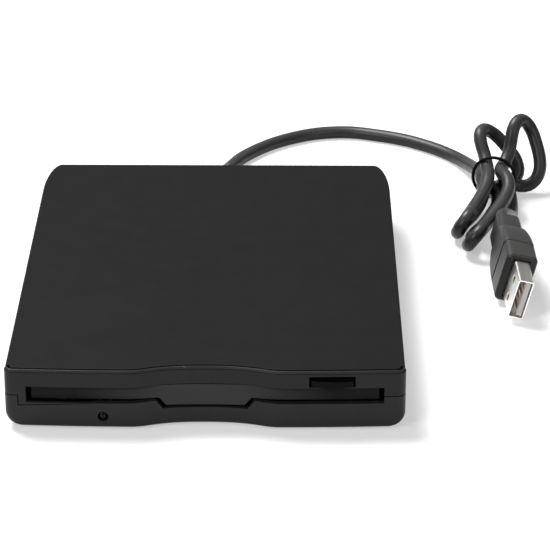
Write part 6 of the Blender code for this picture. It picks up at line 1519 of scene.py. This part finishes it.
def flap_plastic():
    """The flap's colour holds painted shade at its sides, under the slot's upper lip, and painted light in
    its middle, where it sits flush with the recess.
    """
    finish = Finish("flap plastic", FLAP_PAINTED_SHADE_BLACK, specular=0.1)
    parts = finish.pattern("ShaderNodeSeparateXYZ")
    away = math_node(finish.tree, "ABSOLUTE", parts.outputs["X"], 0.0)
    # Paler towards the middle: painted light in the middle, painted shade towards the sides
    painted_light_middle = ramp_between(finish.tree, away, PAINTED_LIGHT_HALF_WIDTH, PAINTED_LIGHT_END_X, 1.0, 0.0)
    grain = finish.group(GRAIN, Grains_per_metre=PLASTIC_GRAINS)
    tone = finish.mixed(painted_light_middle, finish.toned(grain["Tone"], PLASTIC_TONE), FLAP_PAINTED_LIGHT_BLACK)
    handling = finish.group(HANDLING, Smooth=0.4, Rough=0.52)
    return finish.use(tone, handling["Roughness"], grain["Height"], PLASTIC_GRAIN_DEPTH)


def brushed_metal(name, colour, smooth, rough, stretch, depth=METAL_GRAIN_DEPTH):
    """Metal with a fine grain, drawn out into lines where the stretch differs between axes."""
    finish = Finish(name, colour, metallic=1.0)
    lines = finish.stretched(stretch)
    grain = finish.group(GRAIN, vector=lines, Grains_per_metre=METAL_GRAINS)
    handling = finish.group(HANDLING, vector=lines, Smooth=smooth, Rough=rough, Marks=0.1)
    return finish.use(finish.toned(grain["Tone"], 0.08), handling["Roughness"], grain["Height"], depth)


def galvanised_steel():
    """Zinc-coated sheet: flat crystals, each a slightly different grey."""
    finish = Finish("zinc sheet", (0.55, 0.56, 0.57), metallic=1.0)
    crystals = finish.pattern("ShaderNodeTexVoronoi", Scale=260.0)
    grey = finish.tree.nodes.new("ShaderNodeRGBToBW")
    finish.tree.links.new(crystals.outputs["Color"], grey.inputs["Color"])
    rough = ramp_between(finish.tree, grey.outputs["Val"], 0.0, 1.0, 0.3, 0.46)
    grain = finish.group(GRAIN, Grains_per_metre=1800.0)
    return finish.use(finish.toned(grey.outputs["Val"], 0.16), rough, grain["Height"], METAL_GRAIN_DEPTH)


def circuit_board():
    """Green solder mask with lighter tracks in patches, all one way, and bright pads."""
    finish = Finish("board laminate", (0.015, 0.13, 0.05))
    grain = finish.group(GRAIN, Grains_per_metre=2500.0)
    bends = noise_node(finish.tree, finish.vector, PATCHES_PER_METRE, 1.0)
    tracks = finish.pattern("ShaderNodeTexWave", Scale=320.0, Distortion=0.0)
    tracks.bands_direction = "X"
    tracks.wave_profile = "SAW"
    shares = ramp_between(finish.tree, tracks.outputs["Fac"], *TRACK_EDGE, 0.0, 1.0)
    areas = ramp_between(finish.tree, bends, *PATCH_OF_TRACKS, 0.0, 1.0)
    mask = math_node(finish.tree, "MULTIPLY", shares, areas)
    green = finish.toned(grain["Tone"], 0.2)
    tracked = finish.mixed(mask, green, TRACK_GREEN)
    dots = finish.pattern("ShaderNodeTexVoronoi", Scale=280.0)
    pads = ramp_between(finish.tree, dots.outputs["Distance"], *PAD_RIM, 1.0, 0.0)
    padded = finish.mixed(pads, tracked, SOLDERED_PAD)
    handling = finish.group(HANDLING, Smooth=0.3, Rough=0.42)
    return finish.use(padded, handling["Roughness"], mask, TRACK_HEIGHT)


def copper_winding():
    """Enamelled wire, wound in close turns."""
    finish = Finish("copper wire", (0.62, 0.24, 0.09), metallic=1.0)
    turns = finish.pattern("ShaderNodeTexWave", Scale=1400.0, Distortion=0.6)
    turns.wave_type = "RINGS"
    turns.rings_direction = "Z"
    grain = finish.group(GRAIN, Grains_per_metre=METAL_GRAINS)
    rough = ramp_between(finish.tree, turns.outputs["Fac"], 0.0, 1.0, 0.45, 0.28)
    return finish.use(finish.toned(grain["Tone"], 0.2), rough, turns.outputs["Fac"], WIRE_HEIGHT)


def ribbon_film():
    """Pale film over parallel conductors."""
    finish = Finish("ribbon film", (0.62, 0.6, 0.55))
    bands = finish.pattern("ShaderNodeTexWave", Scale=310.0)
    bands.bands_direction = "X"
    colour = finish.mixed(bands.outputs["Fac"], CONDUCTOR_DARK, CONDUCTOR_PALE)
    handling = finish.group(HANDLING, Smooth=0.35, Rough=0.5)
    return finish.use(colour, handling["Roughness"], bands.outputs["Fac"], CONDUCTOR_HEIGHT)


def lens_material():
    """Dark smoked lens: glossy, with faint patches in its tone and its gloss."""
    finish = Finish("smoked lens", (0.002, 0.002, 0.0025), specular=0.18)
    grain = finish.group(GRAIN, Grains_per_metre=METAL_GRAINS)
    rough = ramp_between(finish.tree, grain["Tone"], *PATCH_EDGE, 0.06, 0.14)
    return finish.use(finish.toned(grain["Tone"], 0.3), rough, grain["Height"], LENS_GRAIN_DEPTH)


def gold_contact():
    """Thin gold plating over nickel, with hairline marks."""
    finish = Finish("gold plate", (0.72, 0.5, 0.2), metallic=1.0)
    grain = finish.group(GRAIN, Grains_per_metre=2500.0)
    handling = finish.group(HANDLING, Smooth=0.2, Rough=0.34, Marks=0.15)
    tone = finish.toned(grain["Tone"], 0.15)
    return finish.use(tone, handling["Roughness"], grain["Height"], NICKEL_GRAIN_DEPTH)


def rubber(name, colour):
    """Soft black rubber: coarse matt grain with pale bloom."""
    finish = Finish(name, colour, specular=0.3)
    grain = finish.group(GRAIN, Grains_per_metre=2200.0)
    bloom = ramp_between(finish.tree, grain["Tone"], *BLOOM_EDGE, 0.0, BLOOM_SHARE)
    colour_out = finish.mixed(bloom, finish.toned(grain["Tone"], 0.2), BLOOM_GREY)
    handling = finish.group(HANDLING, Smooth=0.68, Rough=0.86)
    return finish.use(colour_out, handling["Roughness"], grain["Height"], RUBBER_GRAIN_DEPTH)


def make_materials():
    along_y = (6.0, 0.5, 6.0)
    return {
        "case_plastic": moulded_plastic("base plastic", CASE_BLACK, 0.4, 0.5, 0.24, dust=0.08),
        # The cover plastic's colour holds painted shade against the overhead lamp
        "cover": moulded_plastic("cover plastic", COVER_PAINTED_SHADE_BLACK, 0.38, 0.46, 0.07, dust=0.06),
        "bezel_plastic": moulded_plastic("bezel plastic", CASE_BLACK, 0.4, 0.5, 0.2, dust=0.05),
        "flap_plastic": flap_plastic(),
        "button_plastic": moulded_plastic("button plastic", (0.004, 0.004, 0.005), 0.34, 0.42, 0.06),
        "black_plastic": moulded_plastic("inner black plastic", (0.012, 0.012, 0.012), 0.45, 0.6),
        "ivory_plastic": moulded_plastic("ivory plastic", (0.7, 0.66, 0.55), 0.4, 0.55),
        "grey_resin": moulded_plastic("grey resin", (0.1, 0.1, 0.11), 0.45, 0.6),
        "indicator_lens": lens_material(),
        "rubber": rubber("foot rubber", (0.015, 0.015, 0.015)),
        "galvanised_steel": galvanised_steel(),
        "bright_steel": brushed_metal("bright steel", (0.68, 0.68, 0.68), 0.2, 0.32, along_y),
        "spring_steel": brushed_metal("spring steel", (0.6, 0.6, 0.58), 0.24, 0.36, (2.0, 2.0, 2.0)),
        "sintered_bronze": brushed_metal(
            "sintered bronze", (0.55, 0.36, 0.18), 0.4, 0.55, (3.0, 3.0, 3.0), BRONZE_GRAIN_DEPTH
        ),
        "copper_winding": copper_winding(),
        "head_ceramic": moulded_plastic("head ceramic", (0.75, 0.75, 0.72), 0.2, 0.35),
        "circuit_board": circuit_board(),
        "ribbon_film": ribbon_film(),
        "wire_insulation": moulded_plastic("wire insulation", (0.4, 0.05, 0.04), 0.4, 0.5),
        "cord_jacket": moulded_plastic(
            "cord jacket",
            (0.006, 0.006, 0.0065),
            0.34,
            0.44,
            0.3,
            CORD_GRAINS,
            CORD_GRAIN_DEPTH,
            dust=0.15,
            # film paints light on the jacket's upward faces, as lit tops
            film=0.3,
        ),
        "tie_wire": moulded_plastic("tie coating", (0.003, 0.003, 0.003), 0.4, 0.5, 0.08),
        "plug_shell": brushed_metal(
            "plug nickel", (0.95, 0.93, 0.9), 0.3, 0.42, along_y, NICKEL_GRAIN_DEPTH
        ),
        "plug_tongue": moulded_plastic("plug insulator", (0.75, 0.75, 0.74), 0.4, 0.5),
        "gold": gold_contact(),
    }


# Camera, floor and lights

FLOOR_SIZE = 6.0
FLOOR_COLOUR = (0.22, 0.22, 0.22)
FLOOR_SEEN_COLOUR = (1.0, 1.0, 1.0)
FLOOR_LIT_SHARE = 0.45
FLOOR_ROUGHNESS = 0.9
WORLD_STRENGTH = 0.16
# Each lamp: name, place, what it faces, size and power
LAMPS = (
    ("overhead_rear", (-0.4, 0.45, 1.15), (0.0, 0.0, 0.0), 0.5, 25.0),
    ("front_left", (-0.75, -0.95, 0.75), (0.0, 0.0, 0.0), 0.45, 6.5),
    ("front_right", (0.85, -0.95, 0.7), (0.0, 0.0, 0.0), 0.7, 4.5),
)


def camera():
    yaw, pitch, roll = CAMERA_YAW, CAMERA_PITCH, CAMERA_ROLL
    ahead = Vector((math.sin(yaw) * math.cos(pitch), math.cos(yaw) * math.cos(pitch), -math.sin(pitch)))
    right = Vector((math.cos(yaw), -math.sin(yaw), 0.0))
    up = right.cross(ahead)
    turned_right = math.cos(roll) * right + math.sin(roll) * up
    turned_up = math.cos(roll) * up - math.sin(roll) * right
    data = bpy.data.cameras.new("photo_view")
    data.sensor_fit = "HORIZONTAL"
    data.sensor_width = CAMERA_SENSOR
    data.lens = CAMERA_LENS
    data.clip_start = CAMERA_NEAR
    item = bpy.data.objects.new("photo_view", data)
    link(item)
    turn = Matrix((turned_right, turned_up, -ahead)).transposed()
    item.matrix_world = Matrix.Translation(CAMERA_AT) @ turn.to_4x4()
    bpy.context.scene.camera = item


def floor():
    """A pale floor: the view and reflections see it as white, with the object's shadow on it."""
    deselect()
    bpy.ops.mesh.primitive_plane_add(size=FLOOR_SIZE)
    piece = name_new("studio_floor")
    material = bpy.data.materials.new("studio floor")
    material.use_nodes = True
    tree = material.node_tree
    shader = tree.nodes["Principled BSDF"]
    shader.inputs["Roughness"].default_value = FLOOR_ROUGHNESS
    shader.inputs["Specular IOR Level"].default_value = 0.0
    path = tree.nodes.new("ShaderNodeLightPath")
    seen = math_node(tree, "MAXIMUM", path.outputs["Is Camera Ray"], path.outputs["Is Glossy Ray"])
    seen = math_node(tree, "MAXIMUM", seen, path.outputs["Is Transmission Ray"])
    tree.links.new(mixed_colour(tree, seen, FLOOR_COLOUR, FLOOR_SEEN_COLOUR), shader.inputs["Base Color"])
    glow = tree.nodes.new("ShaderNodeEmission")
    share = math_node(tree, "MULTIPLY", seen, FLOOR_LIT_SHARE)
    mix = tree.nodes.new("ShaderNodeMixShader")
    tree.links.new(share, mix.inputs[0])
    tree.links.new(shader.outputs[0], mix.inputs[1])
    tree.links.new(glow.outputs[0], mix.inputs[2])
    tree.links.new(mix.outputs[0], tree.nodes["Material Output"].inputs["Surface"])
    piece.data.materials.append(material)


def lights():
    for name, at, aim, size, power in LAMPS:
        data = bpy.data.lights.new(name, "AREA")
        data.shape = "SQUARE"
        data.size = size
        data.energy = power
        item = bpy.data.objects.new(name, data)
        link(item)
        item.location = at
        item.rotation_euler = (Vector(aim) - Vector(at)).to_track_quat("-Z", "Y").to_euler()
    world = bpy.data.worlds.new("studio")
    bpy.context.scene.world = world
    world.use_nodes = True
    surroundings = world.node_tree.nodes["Background"]
    surroundings.inputs["Color"].default_value = (1.0, 1.0, 1.0, 1.0)
    surroundings.inputs["Strength"].default_value = WORLD_STRENGTH


# The whole drive


def dress_frame(materials):
    """Give every CAD node that still shows the finish of its own material slot."""
    for part in frame["record"]["subparts"]:
        node = frame["nodes"][part["node"]]
        if node.hide_render:
            continue
        node.data.materials.clear()
        node.data.materials.append(materials[part["material_slot"]])


def main():
    camera()
    materials = make_materials()
    line, length = cord(materials["cord_jacket"])
    relief = strain_relief(materials["cord_jacket"])
    tie = hank_tie(materials["tie_wire"])
    grip = plug_grip(materials["cord_jacket"])
    shell = plug_shell(materials["plug_shell"])
    tongue = plug_tongue(materials["plug_tongue"], materials["gold"])
    print("cord length in mm:", round(length / MM))
    top_cover(materials["cover"])
    base_case(materials["case_plastic"])
    front_bezel(materials["bezel_plastic"])
    slot_flap(materials["flap_plastic"])
    eject_button(materials["button_plastic"])
    indicator_lens(materials["indicator_lens"])
    feet(materials["rubber"])
    case_screws(materials["bright_steel"])
    dress_frame(materials)
    floor()
    lights()
    view = bpy.context.scene.view_settings
    view.view_transform = "Standard"
    bpy.context.view_layer.update()


main()
